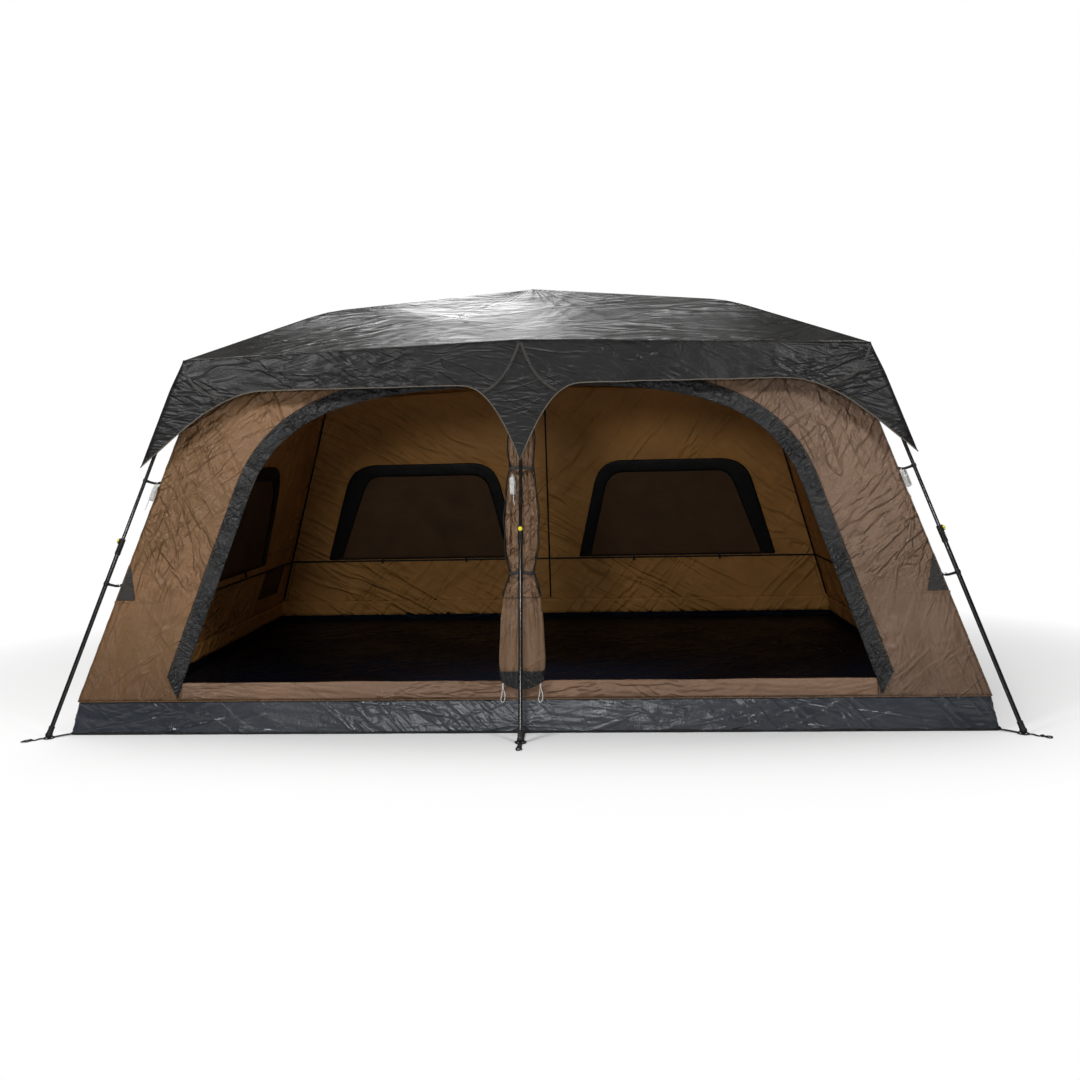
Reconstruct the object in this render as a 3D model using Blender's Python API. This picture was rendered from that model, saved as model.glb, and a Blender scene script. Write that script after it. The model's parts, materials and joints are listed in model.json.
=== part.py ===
"""Instant cabin tent: six telescoping legs on a folding hub frame, with tub floor, walls, ceiling and fly.

Metres, +Z up. The origin is the middle of the floor, on the ground, and the doors face -Y.
"""

import math

import bmesh
import bpy
from mathutils import Matrix, Vector

# Floor and tub
FLOOR_WIDTH = 4.270
FLOOR_DEPTH = 3.050
TUB_HEIGHT = 0.150
TUB_INSET = 0.030
TUB_THICKNESS = 0.003

# Legs, measured from the elbow pin to the middle of the round foot
LEG_LENGTH = 1.850
CORNER_FOOT_OUTSIDE_FLOOR = 0.087
MID_FOOT_OUTSIDE_FLOOR = 0.150
UPPER_TUBE_RADIUS = 0.0080
LOWER_TUBE_RADIUS = 0.0100
TELESCOPE_CLEARANCE = 0.0004
TELESCOPE_OVERLAP = 0.160
COLLAR_FROM_FOOT = 0.965
COLLAR_LENGTH = 0.080
COLLAR_RADIUS = 0.0130
FOOT_RADIUS = 0.0160
FOOT_SLEEVE_LENGTH = 0.034
FOOT_SLEEVE_WALL = 0.0028

# Roof arms. The corner ones fall from the hub at these slopes, and the middle ones run straight to their legs
CORNER_INNER_ARM = 1.232
CORNER_OUTER_ARM = 0.768
CORNER_INNER_SLOPE = math.radians(9.2)
CORNER_OUTER_SLOPE = math.radians(20.8)
MID_INNER_ARM = 0.800
MID_OUTER_ARM = 0.335
ARM_TUBE_RADIUS = 0.0080

# Hub
HUB_RADIUS = 0.085
HUB_HEIGHT = 0.036
HUB_PIN_CIRCLE = 0.060
HUB_DOME_RADIUS = 0.034
HUB_DOME_HEIGHT = 0.012
HUB_DOME_TOP_RADIUS = 0.024
HUB_RIM_BEVEL = 0.0045
HUB_SLOT_DEPTH = 0.041

# Knuckles: a tongue turns between two cheeks on a pin that stands off the tubes
KNEE_PIN_OFFSET = 0.014
ELBOW_PIN_OFFSET = 0.016
KNUCKLE_RADIUS = 0.0110
PIN_RADIUS = 0.0040
PIN_HEAD = 0.0015
TONGUE_HALF_WIDTH = 0.0060
CHEEK_THICKNESS = 0.0050
SOCKET_RADIUS = 0.0110
SOCKET_FLAT = 0.0099
SOCKET_LENGTH = 0.034
SOCKET_START = 0.024
HUB_SOCKET_START = 0.032

# Button in the boss of each collar
BUTTON_RADIUS = 0.0105
BUTTON_TRAVEL = 0.0030
BUTTON_DOME = 0.0050
BUTTON_SHOULDER_RADIUS = 0.0082
BUTTON_SHOULDER_HEIGHT = 0.0035
BUTTON_SKIRT = 0.0042
BUTTON_FROM_COLLAR_TOP = 0.0160
BOSS_WALL = 0.0026
POCKET_FLOOR = 0.0105

# Wall clips on the leg tubes
UPPER_CLIP_BELOW_VALANCE = 0.060
LOWER_CLIP_HEIGHT = 0.700
CLIP_WALL = 0.0030
CLIP_LENGTH = 0.016
CLIP_MOUTH_HALF_ANGLE = math.radians(35.0)
CLIP_TAB_LENGTH = 0.0085
CLIP_TAB_THICKNESS = 0.0040
CLIP_TAB_WIDTH = 0.0128

# Fabric
WALL_THICKNESS = 0.003
CANOPY_THICKNESS = 0.002
WALL_CORNER_INSET = 0.045
WALL_TOP_DROP = 0.030
CEILING_DROP = 0.040
CEILING_HUB_DROP = 0.030
FLY_RISE = 0.033
FLY_LEG_OFFSET = 0.032
FLY_SAG = 0.012
VALANCE_TIP_DROP = 0.515
VALANCE_ARCH_DROP = 0.157
CORNER_FLARE = 0.28
MID_FLARE = 0.17
FLARE_POWER = 2.2
VALANCE_BEND = 0.35

# Doors in the front wall: a leaning outer edge, then one curve to the middle of the wall
DOOR_SILL_HEIGHT = 0.225
DOOR_TOP_DROP = 0.088
DOOR_OUTER_AT_SILL = 1.605
DOOR_INNER_AT = 0.100
DOOR_LEAN = math.radians(18.3)
DOOR_SHOULDER_DROP = 0.500
DOOR_SHOULDER_PULL = 0.420
DOOR_TOP_PULL = 0.750

# Door panels gathered on each side of the middle leg: share of the door's height, share of their half width
GATHER_HALF_WIDTH = 0.104
GATHER_STATIONS = (
    (0.045, 0.29),
    (0.090, 0.85),
    (0.150, 1.00),
    (0.315, 0.85),
    (0.377, 0.54),
    (0.440, 0.64),
    (0.550, 0.73),
    (0.673, 0.60),
    (0.727, 0.48),
    (0.855, 0.54),
    (1.000, 0.48),
)
GATHER_DEPTH = 0.050
GATHER_OVERLAP = 1.08
GATHER_LEAST_DEPTH = 0.2

# Webbing at each foot, flat on the ground
WEBBING_WIDTH = 0.025
WEBBING_THICKNESS = 0.0018
WEBBING_LIFT = 0.0006
WEBBING_LAYER = 0.0003
EYELET_WALL = 0.012
WEBBING_TAIL = 0.085
WEBBING_TUCK = 0.045
STAKE_LOOP_WIDTH = 0.034
STAKE_LOOP_LENGTH = 0.040
STAKE_HOLE_RADIUS = 0.0069

# Hanks of guy rope
HANK_LENGTH = 0.090
HANK_WIDTH = 0.026
HANK_THICKNESS = 0.020
HANK_BELOW_CLIP = 0.060
HANK_MIDDLE_AT = -0.038

# Clearances
SEAM_GAP = 0.0003
PIN_CLEARANCE = 0.0003

# Facets
TUBE_SIDES = 10
ARC_STEPS = 5
BAY_STEPS = 8
SIDE_STEPS = 8
CEILING_STEPS = 4

# Values that follow from the ones above
CHEEK_INNER = TONGUE_HALF_WIDTH + PIN_CLEARANCE
CHEEK_OUTER = CHEEK_INNER + CHEEK_THICKNESS
TUBE_BORE = UPPER_TUBE_RADIUS + TELESCOPE_CLEARANCE
COLLAR_TOP = LEG_LENGTH - COLLAR_FROM_FOOT
HUB_TOP = HUB_HEIGHT / 2 + HUB_DOME_HEIGHT
FLOOR_HALF_X = FLOOR_WIDTH / 2
FLOOR_HALF_Y = FLOOR_DEPTH / 2
CORNER_AZIMUTH = math.atan2(FLOOR_HALF_Y, FLOOR_HALF_X)
CORNER_FOOT_RADIUS = math.hypot(FLOOR_HALF_X, FLOOR_HALF_Y) + CORNER_FOOT_OUTSIDE_FLOOR
MID_FOOT_RADIUS = FLOOR_HALF_Y + MID_FOOT_OUTSIDE_FLOOR
WALL_FOOT = TUB_HEIGHT + SEAM_GAP


class Arm:
    """One roof arm and its leg, drawn in the upright plane that holds them: r outwards, z up."""

    def __init__(self, inner, outer, foot_radius):
        self.inner_length = inner
        self.outer_length = outer
        self.foot = Vector((foot_radius, FOOT_RADIUS))

    def place(self, hub_height, inner_slope, outer_slope):
        """Fixes the arm to the hub at its slopes, then works out its knee, elbow and leg."""
        self.inner_angle = -inner_slope
        self.outer_angle = -outer_slope
        self.hub_pin = Vector((HUB_PIN_CIRCLE, hub_height))
        inner, above_inner = along(self.inner_angle)
        outer, above_outer = along(self.outer_angle)
        self.knee_pin = self.hub_pin + self.inner_length * inner + KNEE_PIN_OFFSET * above_inner
        self.outer_start = self.knee_pin - KNEE_PIN_OFFSET * above_outer
        self.outer_end = self.outer_start + self.outer_length * outer
        self.elbow_pin = self.outer_end - ELBOW_PIN_OFFSET * above_outer
        reach = self.foot - self.elbow_pin
        self.leg_angle = math.atan2(reach.y, reach.x) - math.atan2(ELBOW_PIN_OFFSET, LEG_LENGTH)
        leg, outside_leg = along(self.leg_angle)
        self.leg_start = self.elbow_pin + ELBOW_PIN_OFFSET * outside_leg
        self.fly_knee = crossing(
            self.hub_pin + FLY_RISE * above_inner, inner, self.outer_start + FLY_RISE * above_outer, outer
        )
        self.fly_eave = crossing(
            self.outer_end + FLY_RISE * above_outer, outer, self.leg_start + FLY_LEG_OFFSET * outside_leg, leg
        )
        return self

    def leg_at_height(self, height):
        """Distance from the elbow, along the leg, of the point at a height."""
        return (self.leg_start.y - height) / -math.sin(self.leg_angle)


def along(angle):
    """The direction at an angle in the (r, z) plane, and the normal on its upper or outer side."""
    direction = Vector((math.cos(angle), math.sin(angle)))
    return direction, Vector((-direction.y, direction.x))


def crossing(start, direction, other_start, other_direction):
    """Where two lines in the (r, z) plane cross, or their common end if they are one line."""
    spread = direction.x * other_direction.y - direction.y * other_direction.x
    if abs(spread) < math.radians(1.0):
        return other_start.copy()
    gap = other_start - start
    return start + direction * ((gap.x * other_direction.y - gap.y * other_direction.x) / spread)


def corner_hub_height(arm):
    """The hub's height at which a corner arm, with its own slopes, stands its foot on the ground."""
    arm.place(0.0, CORNER_INNER_SLOPE, CORNER_OUTER_SLOPE)
    reach = arm.foot.x - arm.elbow_pin.x
    rise = math.sqrt(LEG_LENGTH**2 + ELBOW_PIN_OFFSET**2 - reach**2)
    return arm.foot.y + rise - arm.elbow_pin.y


def straight_slope(arm, hub_height):
    """The slope of a straight arm, which with its leg spans from the hub pin to the foot."""
    length = arm.inner_length + arm.outer_length
    roof_side = math.hypot(length, ELBOW_PIN_OFFSET)
    leg_side = math.hypot(LEG_LENGTH, ELBOW_PIN_OFFSET)
    span = arm.foot - Vector((HUB_PIN_CIRCLE, hub_height))
    beside = roof_side**2 + span.length_squared - leg_side**2
    corner_angle = math.acos(beside / (2 * roof_side * span.length))
    return -math.atan2(span.y, span.x) - corner_angle - math.atan2(ELBOW_PIN_OFFSET, length)


corner = Arm(CORNER_INNER_ARM, CORNER_OUTER_ARM, CORNER_FOOT_RADIUS)
middle = Arm(MID_INNER_ARM, MID_OUTER_ARM, MID_FOOT_RADIUS)
HUB_PIN_HEIGHT = corner_hub_height(corner)
MID_SLOPE = straight_slope(middle, HUB_PIN_HEIGHT)
corner.place(HUB_PIN_HEIGHT, CORNER_INNER_SLOPE, CORNER_OUTER_SLOPE)
middle.place(HUB_PIN_HEIGHT, MID_SLOPE, MID_SLOPE)
VALANCE_TIP_HEIGHT = corner.fly_eave.y - VALANCE_TIP_DROP
VALANCE_ARCH_HEIGHT = corner.fly_eave.y - VALANCE_ARCH_DROP
UPPER_CLIP_HEIGHT = VALANCE_TIP_HEIGHT - UPPER_CLIP_BELOW_VALANCE
HANK_HEIGHT = UPPER_CLIP_HEIGHT - HANK_BELOW_CLIP

# Arms in order round the hub, anticlockwise from above
ARMS = (
    ("rear_right", CORNER_AZIMUTH, corner),
    ("rear_mid", math.pi / 2, middle),
    ("rear_left", math.pi - CORNER_AZIMUTH, corner),
    ("front_left", math.pi + CORNER_AZIMUTH, corner),
    ("front_mid", 3 * math.pi / 2, middle),
    ("front_right", 2 * math.pi - CORNER_AZIMUTH, corner),
)


# Scene helpers


def clear_scene():
    for thing in list(bpy.data.objects):
        bpy.data.objects.remove(thing, do_unlink=True)


def material(name, colour, roughness, metallic=0.0):
    made = bpy.data.materials.new(name)
    made.use_nodes = True
    shader = made.node_tree.nodes["Principled BSDF"]
    shader.inputs["Base Color"].default_value = (*colour, 1.0)
    shader.inputs["Roughness"].default_value = roughness
    shader.inputs["Metallic"].default_value = metallic
    made.diffuse_color = (*colour, 1.0)
    return made


def mesh_from(bm, name):
    bmesh.ops.recalc_face_normals(bm, faces=bm.faces)
    mesh = bpy.data.meshes.new(name)
    bm.to_mesh(mesh)
    bm.free()
    return mesh


def add_object(name, mesh, finish, parent=None, location=(0, 0, 0), turn=0.0):
    """Adds a piece. turn lifts its X axis towards +Z, about its own Y axis."""
    if not mesh.materials:
        mesh.materials.append(finish)
        mesh.shade_smooth()
        mesh.set_sharp_from_angle(angle=math.radians(32.0))
    thing = bpy.data.objects.new(name, mesh)
    bpy.context.scene.collection.objects.link(thing)
    thing.parent = parent
    thing.location = location
    thing.rotation_euler = (0.0, -turn, 0.0)
    return thing


def combined(name, base, *steps):
    """The mesh left when other meshes are joined to a base mesh, or cut from it, in order."""
    body = bpy.data.objects.new(name, base)
    helpers = []
    for operation, mesh in steps:
        helper = bpy.data.objects.new(mesh.name, mesh)
        modifier = body.modifiers.new(operation, "BOOLEAN")
        modifier.solver = "EXACT"
        modifier.operation = operation
        modifier.object = helper
        helpers.append(helper)
    for thing in (body, *helpers):
        bpy.context.scene.collection.objects.link(thing)
    graph = bpy.context.evaluated_depsgraph_get()
    result = bpy.data.meshes.new_from_object(body.evaluated_get(graph), depsgraph=graph)
    result.name = name
    for thing in (body, *helpers):
        bpy.data.objects.remove(thing, do_unlink=True)
    return result


# Shapes


def ring_points(radius, sides, start=0.0):
    step = 2 * math.pi / sides
    return [(radius * math.cos(start + i * step), radius * math.sin(start + i * step)) for i in range(sides)]


def turned(name, profile, hollow=False, sides=TUBE_SIDES, axis="X", centre=(0, 0, 0)):
    """Turns a profile of (distance along the axis, radius). A hollow one is a closed loop off the axis."""
    bm = bmesh.new()
    rows = []
    for distance, radius in profile:
        if radius == 0.0:
            rows.append([bm.verts.new((distance, 0.0, 0.0))])
        else:
            rows.append([bm.verts.new((distance, y, z)) for y, z in ring_points(radius, sides)])
    pairs = list(zip(rows, rows[1:]))
    if hollow:
        pairs.append((rows[-1], rows[0]))
    for first, second in pairs:
        bridge(bm, first, second, closed=True)
    if axis == "Z":
        bmesh.ops.rotate(bm, verts=bm.verts, matrix=Matrix.Rotation(-math.pi / 2, 3, "Y"))
    elif axis == "Y":
        bmesh.ops.rotate(bm, verts=bm.verts, matrix=Matrix.Rotation(math.pi / 2, 3, "Z"))
    bmesh.ops.translate(bm, verts=bm.verts, vec=centre)
    return mesh_from(bm, name)


def bridge(bm, first, second, closed):
    """Faces between two rows of vertices, where a row of one vertex is a pole."""
    count = max(len(first), len(second))
    for i in range(count if closed else count - 1):
        j = (i + 1) % count
        corners = [row[k] for row, k in ((first, i), (first, j), (second, j), (second, i)) if k < len(row)]
        if len(first) == 1:
            corners = [first[0], second[j], second[i]]
        elif len(second) == 1:
            corners = [first[i], first[j], second[0]]
        bm.faces.new(corners)


def convex_outline(points):
    """The corners of the smallest convex shape round some points, anticlockwise."""
    ordered = sorted(set(points))

    def chain(walk):
        kept = []
        for point in walk:
            while len(kept) > 1 and turn_of(kept[-2], kept[-1], point) <= 0.0:
                kept.pop()
            kept.append(point)
        return kept[:-1]

    return chain(ordered) + chain(reversed(ordered))


def turn_of(a, b, c):
    return (b[0] - a[0]) * (c[1] - a[1]) - (b[1] - a[1]) * (c[0] - a[0])


def prism(name, outline, near, far, at=lambda u, v, depth: (u, depth, v)):
    """A closed plate: an outline in (u, v), drawn at two depths."""
    bm = bmesh.new()
    front = [bm.verts.new(at(u, v, near)) for u, v in outline]
    back = [bm.verts.new(at(u, v, far)) for u, v in outline]
    bm.faces.new(front)
    bm.faces.new(back)
    bridge(bm, front, back, closed=True)
    return mesh_from(bm, name)


def disc_points(x, z, radius, sides=2 * ARC_STEPS):
    return [(x + u, z + v) for u, v in ring_points(radius, sides)]


# Knuckles


def knuckle_outline(pin, socket_from, socket_to, axis_z):
    """Side view of a knuckle: it wraps the pin and runs tangent into the tube's socket."""
    corners = [(x, axis_z + side * SOCKET_FLAT) for x in (socket_from, socket_to) for side in (-1, 1)]
    return convex_outline(disc_points(pin[0], pin[1], KNUCKLE_RADIUS) + corners)


def tongue(name, pin, socket_from, socket_to, axis_z):
    outline = knuckle_outline(pin, socket_from, socket_to, axis_z)
    plate = prism(name, outline, -TONGUE_HALF_WIDTH, TONGUE_HALF_WIDTH)
    width = 2 * TONGUE_HALF_WIDTH
    hole = PIN_RADIUS + PIN_CLEARANCE
    bore = turned(
        "pin_hole",
        [(-width, 0.0), (-width, hole), (width, hole), (width, 0.0)],
        axis="Y",
        centre=(pin[0], 0.0, pin[1]),
    )
    return combined(name, plate, ("DIFFERENCE", bore))


def fork_parts(pin, socket_from, socket_to, axis_z):
    """Two cheeks and the pin that joins them."""
    outline = knuckle_outline(pin, socket_from, socket_to, axis_z)
    reach = CHEEK_OUTER + PIN_HEAD
    rivet = turned(
        "rivet",
        [(-reach, 0.0), (-reach, PIN_RADIUS), (reach, PIN_RADIUS), (reach, 0.0)],
        axis="Y",
        centre=(pin[0], 0.0, pin[1]),
    )
    left = prism("left_cheek", outline, -CHEEK_OUTER, -CHEEK_INNER)
    right = prism("right_cheek", outline, CHEEK_INNER, CHEEK_OUTER)
    return [("UNION", left), ("UNION", right), ("UNION", rivet)]


def socketed_tube(name, tube_from, tube_to, radius, sockets, axis_z):
    """A tube along X with a moulded socket round each listed stretch of it."""
    profile = [(tube_from, 0.0)]
    x = tube_from
    for socket_from, socket_to in sockets:
        if socket_from > x:
            profile += [(x, radius), (socket_from, radius)]
        profile += [(socket_from, SOCKET_RADIUS), (socket_to, SOCKET_RADIUS)]
        x = socket_to
    if tube_to > x:
        profile += [(x, radius), (tube_to, radius)]
    profile.append((tube_to, 0.0))
    return turned(name, profile, centre=(0.0, 0.0, axis_z))


# Frame pieces, each with its origin on its own joint


def inner_arm_mesh(length):
    """From the tongue in the hub's slot to the fork that holds the knee pin."""
    hub_socket = (HUB_SOCKET_START, HUB_SOCKET_START + SOCKET_LENGTH)
    knee_socket = (length - SOCKET_START - SOCKET_LENGTH, length - SOCKET_START)
    sockets = (hub_socket, knee_socket)
    tube = socketed_tube("inner_arm", hub_socket[0], knee_socket[1], ARM_TUBE_RADIUS, sockets, 0.0)
    end = tongue("hub_tongue", (0.0, 0.0), hub_socket[0], hub_socket[0] + SOCKET_LENGTH / 2, 0.0)
    fork = fork_parts((length, KNEE_PIN_OFFSET), knee_socket[1] - SOCKET_LENGTH / 2, knee_socket[1], 0.0)
    return combined("inner_arm", tube, ("UNION", end), *fork)


def outer_arm_mesh(length):
    """From the tongue on the knee pin to the fork that holds the elbow pin."""
    axis_z = -KNEE_PIN_OFFSET
    knee_socket = (SOCKET_START, SOCKET_START + SOCKET_LENGTH)
    elbow_socket = (length - SOCKET_START - SOCKET_LENGTH, length - SOCKET_START)
    sockets = (knee_socket, elbow_socket)
    tube = socketed_tube("outer_arm", knee_socket[0], elbow_socket[1], ARM_TUBE_RADIUS, sockets, axis_z)
    end = tongue("knee_tongue", (0.0, 0.0), knee_socket[0], knee_socket[0] + SOCKET_LENGTH / 2, axis_z)
    pin = (length, axis_z - ELBOW_PIN_OFFSET)
    fork = fork_parts(pin, elbow_socket[1] - SOCKET_LENGTH / 2, elbow_socket[1], axis_z)
    return combined("outer_arm", tube, ("UNION", end), *fork)


def upper_leg_mesh():
    """The thin tube of a leg, hung from its tongue on the elbow pin."""
    socket = (SOCKET_START, SOCKET_START + SOCKET_LENGTH)
    tube = socketed_tube(
        "upper_leg", socket[0], COLLAR_TOP + TELESCOPE_OVERLAP, UPPER_TUBE_RADIUS, (socket,), ELBOW_PIN_OFFSET
    )
    end = tongue("elbow_tongue", (0.0, 0.0), socket[0], socket[0] + SOCKET_LENGTH / 2, ELBOW_PIN_OFFSET)
    return combined("upper_leg", tube, ("UNION", end))


def lower_leg_mesh():
    """The thick tube, with the moulded collar and button boss at its top."""
    tube_end = LEG_LENGTH - FOOT_RADIUS / 2
    collar_middle = COLLAR_TOP + COLLAR_LENGTH / 2
    collar_end = COLLAR_TOP + COLLAR_LENGTH
    waist = COLLAR_RADIUS - (COLLAR_RADIUS - LOWER_TUBE_RADIUS) / 2
    boss_top = POCKET_FLOOR + BUTTON_TRAVEL + BUTTON_SKIRT
    button_at = COLLAR_TOP + BUTTON_FROM_COLLAR_TOP
    pocket = BUTTON_RADIUS + PIN_CLEARANCE
    body = turned(
        "lower_leg",
        [(COLLAR_TOP, TUBE_BORE), (COLLAR_TOP, COLLAR_RADIUS), (collar_middle, COLLAR_RADIUS)]
        + [(collar_middle, waist), (collar_end - COLLAR_LENGTH / 6, waist)]
        + [(collar_end - COLLAR_LENGTH / 6, COLLAR_RADIUS), (collar_end, COLLAR_RADIUS)]
        + [(collar_end, LOWER_TUBE_RADIUS), (tube_end, LOWER_TUBE_RADIUS), (tube_end, TUBE_BORE)],
        hollow=True,
    )
    inside = (TUBE_BORE + POCKET_FLOOR) / 2
    boss = turned(
        "button_boss",
        [(inside, 0.0), (inside, pocket + BOSS_WALL), (boss_top, pocket + BOSS_WALL), (boss_top, 0.0)],
        axis="Z",
        centre=(button_at, 0.0, 0.0),
    )
    recess = turned(
        "button_pocket",
        [(POCKET_FLOOR, 0.0), (POCKET_FLOOR, pocket), (2 * boss_top, pocket), (2 * boss_top, 0.0)],
        axis="Z",
        centre=(button_at, 0.0, 0.0),
    )
    mesh = combined("lower_leg", body, ("UNION", boss), ("DIFFERENCE", recess))
    mesh.transform(Matrix.Translation((0.0, 0.0, ELBOW_PIN_OFFSET)))
    return mesh


def button_mesh():
    """A domed push button, drawn about its own middle with its skirt towards the tube."""
    return turned(
        "button",
        [(0.0, 0.0), (0.0, BUTTON_RADIUS), (BUTTON_SKIRT, BUTTON_RADIUS)]
        + [(BUTTON_SKIRT + BUTTON_SHOULDER_HEIGHT, BUTTON_SHOULDER_RADIUS), (BUTTON_SKIRT + BUTTON_DOME, 0.0)],
        axis="Z",
    )


def foot_mesh():
    """A round plastic foot with a sleeve over the end of the lower tube."""
    tube_end = -FOOT_RADIUS / 2
    bore = LOWER_TUBE_RADIUS + PIN_CLEARANCE
    sleeve = bore + FOOT_SLEEVE_WALL
    top = tube_end - FOOT_SLEEVE_LENGTH
    joins_at = -math.sqrt(FOOT_RADIUS**2 - sleeve**2)
    first = math.atan2(sleeve, joins_at)
    bulb = [
        (FOOT_RADIUS * math.cos(first * i / ARC_STEPS), FOOT_RADIUS * math.sin(first * i / ARC_STEPS))
        for i in range(1, ARC_STEPS + 1)
    ]
    profile = [(FOOT_RADIUS, 0.0), *bulb, (top, sleeve), (top, bore), (tube_end + SEAM_GAP, bore)]
    return turned("foot", profile + [(tube_end + SEAM_GAP, 0.0)])


def clip_mesh(name, tube_radius):
    """A snap clip: a C that grips the tube, open outwards, with a flat tab towards the wall."""
    bore = tube_radius + PIN_CLEARANCE
    outer = bore + CLIP_WALL
    steps = 2 * ARC_STEPS
    sweep = 2 * math.pi - 2 * CLIP_MOUTH_HALF_ANGLE
    angles = [math.pi / 2 + CLIP_MOUTH_HALF_ANGLE + sweep * i / steps for i in range(steps + 1)]
    ring = [(outer * math.cos(a), outer * math.sin(a)) for a in angles]
    ring += [(bore * math.cos(a), bore * math.sin(a)) for a in reversed(angles)]
    half = CLIP_LENGTH / 2
    grip = prism(name, ring, -half, half, at=lambda u, v, depth: (depth, u, v))
    tab_root = -(outer - CLIP_WALL / 2)
    tab_end = -(outer + CLIP_TAB_LENGTH)
    thin = CLIP_TAB_THICKNESS / 2
    outline = [(-thin, tab_end), (thin, tab_end), (thin, tab_root), (-thin, tab_root)]
    wide = CLIP_TAB_WIDTH / 2
    tab = prism("clip_tab", outline, -wide, wide, at=lambda u, v, depth: (depth, u, v))
    return combined(name, grip, ("UNION", tab))


def hub_mesh():
    """A round hub with a slot for each arm, and a pin across each slot."""
    half = HUB_HEIGHT / 2
    rim = HUB_RADIUS - HUB_RIM_BEVEL
    shoulder = half - 2 * HUB_RIM_BEVEL
    body = turned(
        "hub",
        [(-half, 0.0), (-half, rim), (-shoulder, HUB_RADIUS), (shoulder, HUB_RADIUS), (half, rim)]
        + [(half, HUB_DOME_RADIUS), (HUB_TOP, HUB_DOME_TOP_RADIUS), (HUB_TOP, 0.0)],
        sides=3 * TUBE_SIDES,
        axis="Z",
    )
    steps = []
    for label, azimuth, _ in ARMS:
        slot = prism(
            f"slot_{label}",
            [(HUB_RADIUS - HUB_SLOT_DEPTH, -HUB_HEIGHT), (2 * HUB_RADIUS, -HUB_HEIGHT)]
            + [(2 * HUB_RADIUS, HUB_HEIGHT), (HUB_RADIUS - HUB_SLOT_DEPTH, HUB_HEIGHT)],
            -CHEEK_INNER,
            CHEEK_INNER,
        )
        slot.transform(Matrix.Rotation(azimuth, 4, "Z"))
        steps.append(("DIFFERENCE", slot))
    for label, azimuth, _ in ARMS:
        reach = CHEEK_INNER + CHEEK_THICKNESS
        pin = turned(
            f"pin_{label}",
            [(-reach, 0.0), (-reach, PIN_RADIUS), (reach, PIN_RADIUS), (reach, 0.0)],
            axis="Y",
            centre=(HUB_PIN_CIRCLE, 0.0, 0.0),
        )
        pin.transform(Matrix.Rotation(azimuth, 4, "Z"))
        steps.append(("UNION", pin))
    return combined("hub", body, *steps)


# Body walls: flat panels between the tub's rim and a top edge just inside the elbows


def wall_corner_top():
    radius = corner.elbow_pin.x - WALL_CORNER_INSET
    return Vector(
        (
            radius * math.cos(CORNER_AZIMUTH),
            radius * math.sin(CORNER_AZIMUTH),
            corner.elbow_pin.y - WALL_TOP_DROP,
        )
    )


CORNER_TOP = wall_corner_top()
MID_TOP_HEIGHT = middle.elbow_pin.y - WALL_TOP_DROP
WALL_FOOT_X = FLOOR_HALF_X - TUB_INSET
WALL_FOOT_Y = FLOOR_HALF_Y - TUB_INSET


def wall_x(height):
    """Half width of the body at a height."""
    return WALL_FOOT_X - (WALL_FOOT_X - CORNER_TOP.x) * (height - WALL_FOOT) / (CORNER_TOP.z - WALL_FOOT)


def wall_y(height):
    """Half depth of the body at a height."""
    return WALL_FOOT_Y - (WALL_FOOT_Y - CORNER_TOP.y) * (height - WALL_FOOT) / (CORNER_TOP.z - WALL_FOOT)


def end_wall_mesh(name, side):
    """Front (side -1) or rear (side 1) wall: it rises from both corners to the middle elbow."""

    def at(u, v, depth):
        return u, side * (wall_y(v) - depth), v

    outline = [
        (-WALL_FOOT_X, WALL_FOOT),
        (WALL_FOOT_X, WALL_FOOT),
        (CORNER_TOP.x, CORNER_TOP.z),
        (0.0, MID_TOP_HEIGHT),
        (-CORNER_TOP.x, CORNER_TOP.z),
    ]
    return prism(name, outline, 0.0, WALL_THICKNESS, at)


def side_wall_mesh(name, side):
    """Left (side -1) or right (side 1) wall, fitted between the end walls."""

    def at(u, v, depth):
        return side * (wall_x(v) - depth), u, v

    inset = WALL_THICKNESS + SEAM_GAP
    outline = [
        (inset - WALL_FOOT_Y, WALL_FOOT),
        (WALL_FOOT_Y - inset, WALL_FOOT),
        (CORNER_TOP.y - inset, CORNER_TOP.z),
        (inset - CORNER_TOP.y, CORNER_TOP.z),
    ]
    return prism(name, outline, 0.0, WALL_THICKNESS, at)


def bezier(points, share):
    """The point at a share of a curve that runs from the first point to the last, pulled by those between."""
    while len(points) > 1:
        points = [a.lerp(b, share) for a, b in zip(points, points[1:])]
    return points[0]


def door_outline(side):
    """A D-shaped door: upright inner edge, leaning outer edge, and a round shoulder to the top."""
    top = CORNER_TOP.z - DOOR_TOP_DROP
    start = top - DOOR_SHOULDER_DROP
    rise = Vector((-math.sin(DOOR_LEAN), math.cos(DOOR_LEAN)))
    sill = Vector((DOOR_OUTER_AT_SILL, DOOR_SILL_HEIGHT))
    shoulder = sill + rise * ((start - sill.y) / rise.y)
    end = Vector((DOOR_INNER_AT, top))
    curve = [shoulder, shoulder + rise * DOOR_SHOULDER_PULL, end + Vector((DOOR_TOP_PULL, 0.0)), end]
    outline = [Vector((DOOR_INNER_AT, DOOR_SILL_HEIGHT)), sill]
    outline += [bezier(curve, i / (2 * ARC_STEPS)) for i in range(2 * ARC_STEPS + 1)]
    return [(side * point.x, point.y) for point in outline]


def front_wall_mesh():
    cuts = [
        ("DIFFERENCE", prism(f"door_{side}", door_outline(side), -FLOOR_DEPTH, 0.0))
        for side in (-1, 1)
    ]
    return combined("wall_front", end_wall_mesh("wall_front", -1), *cuts)


# Tub floor with its webbing


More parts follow.
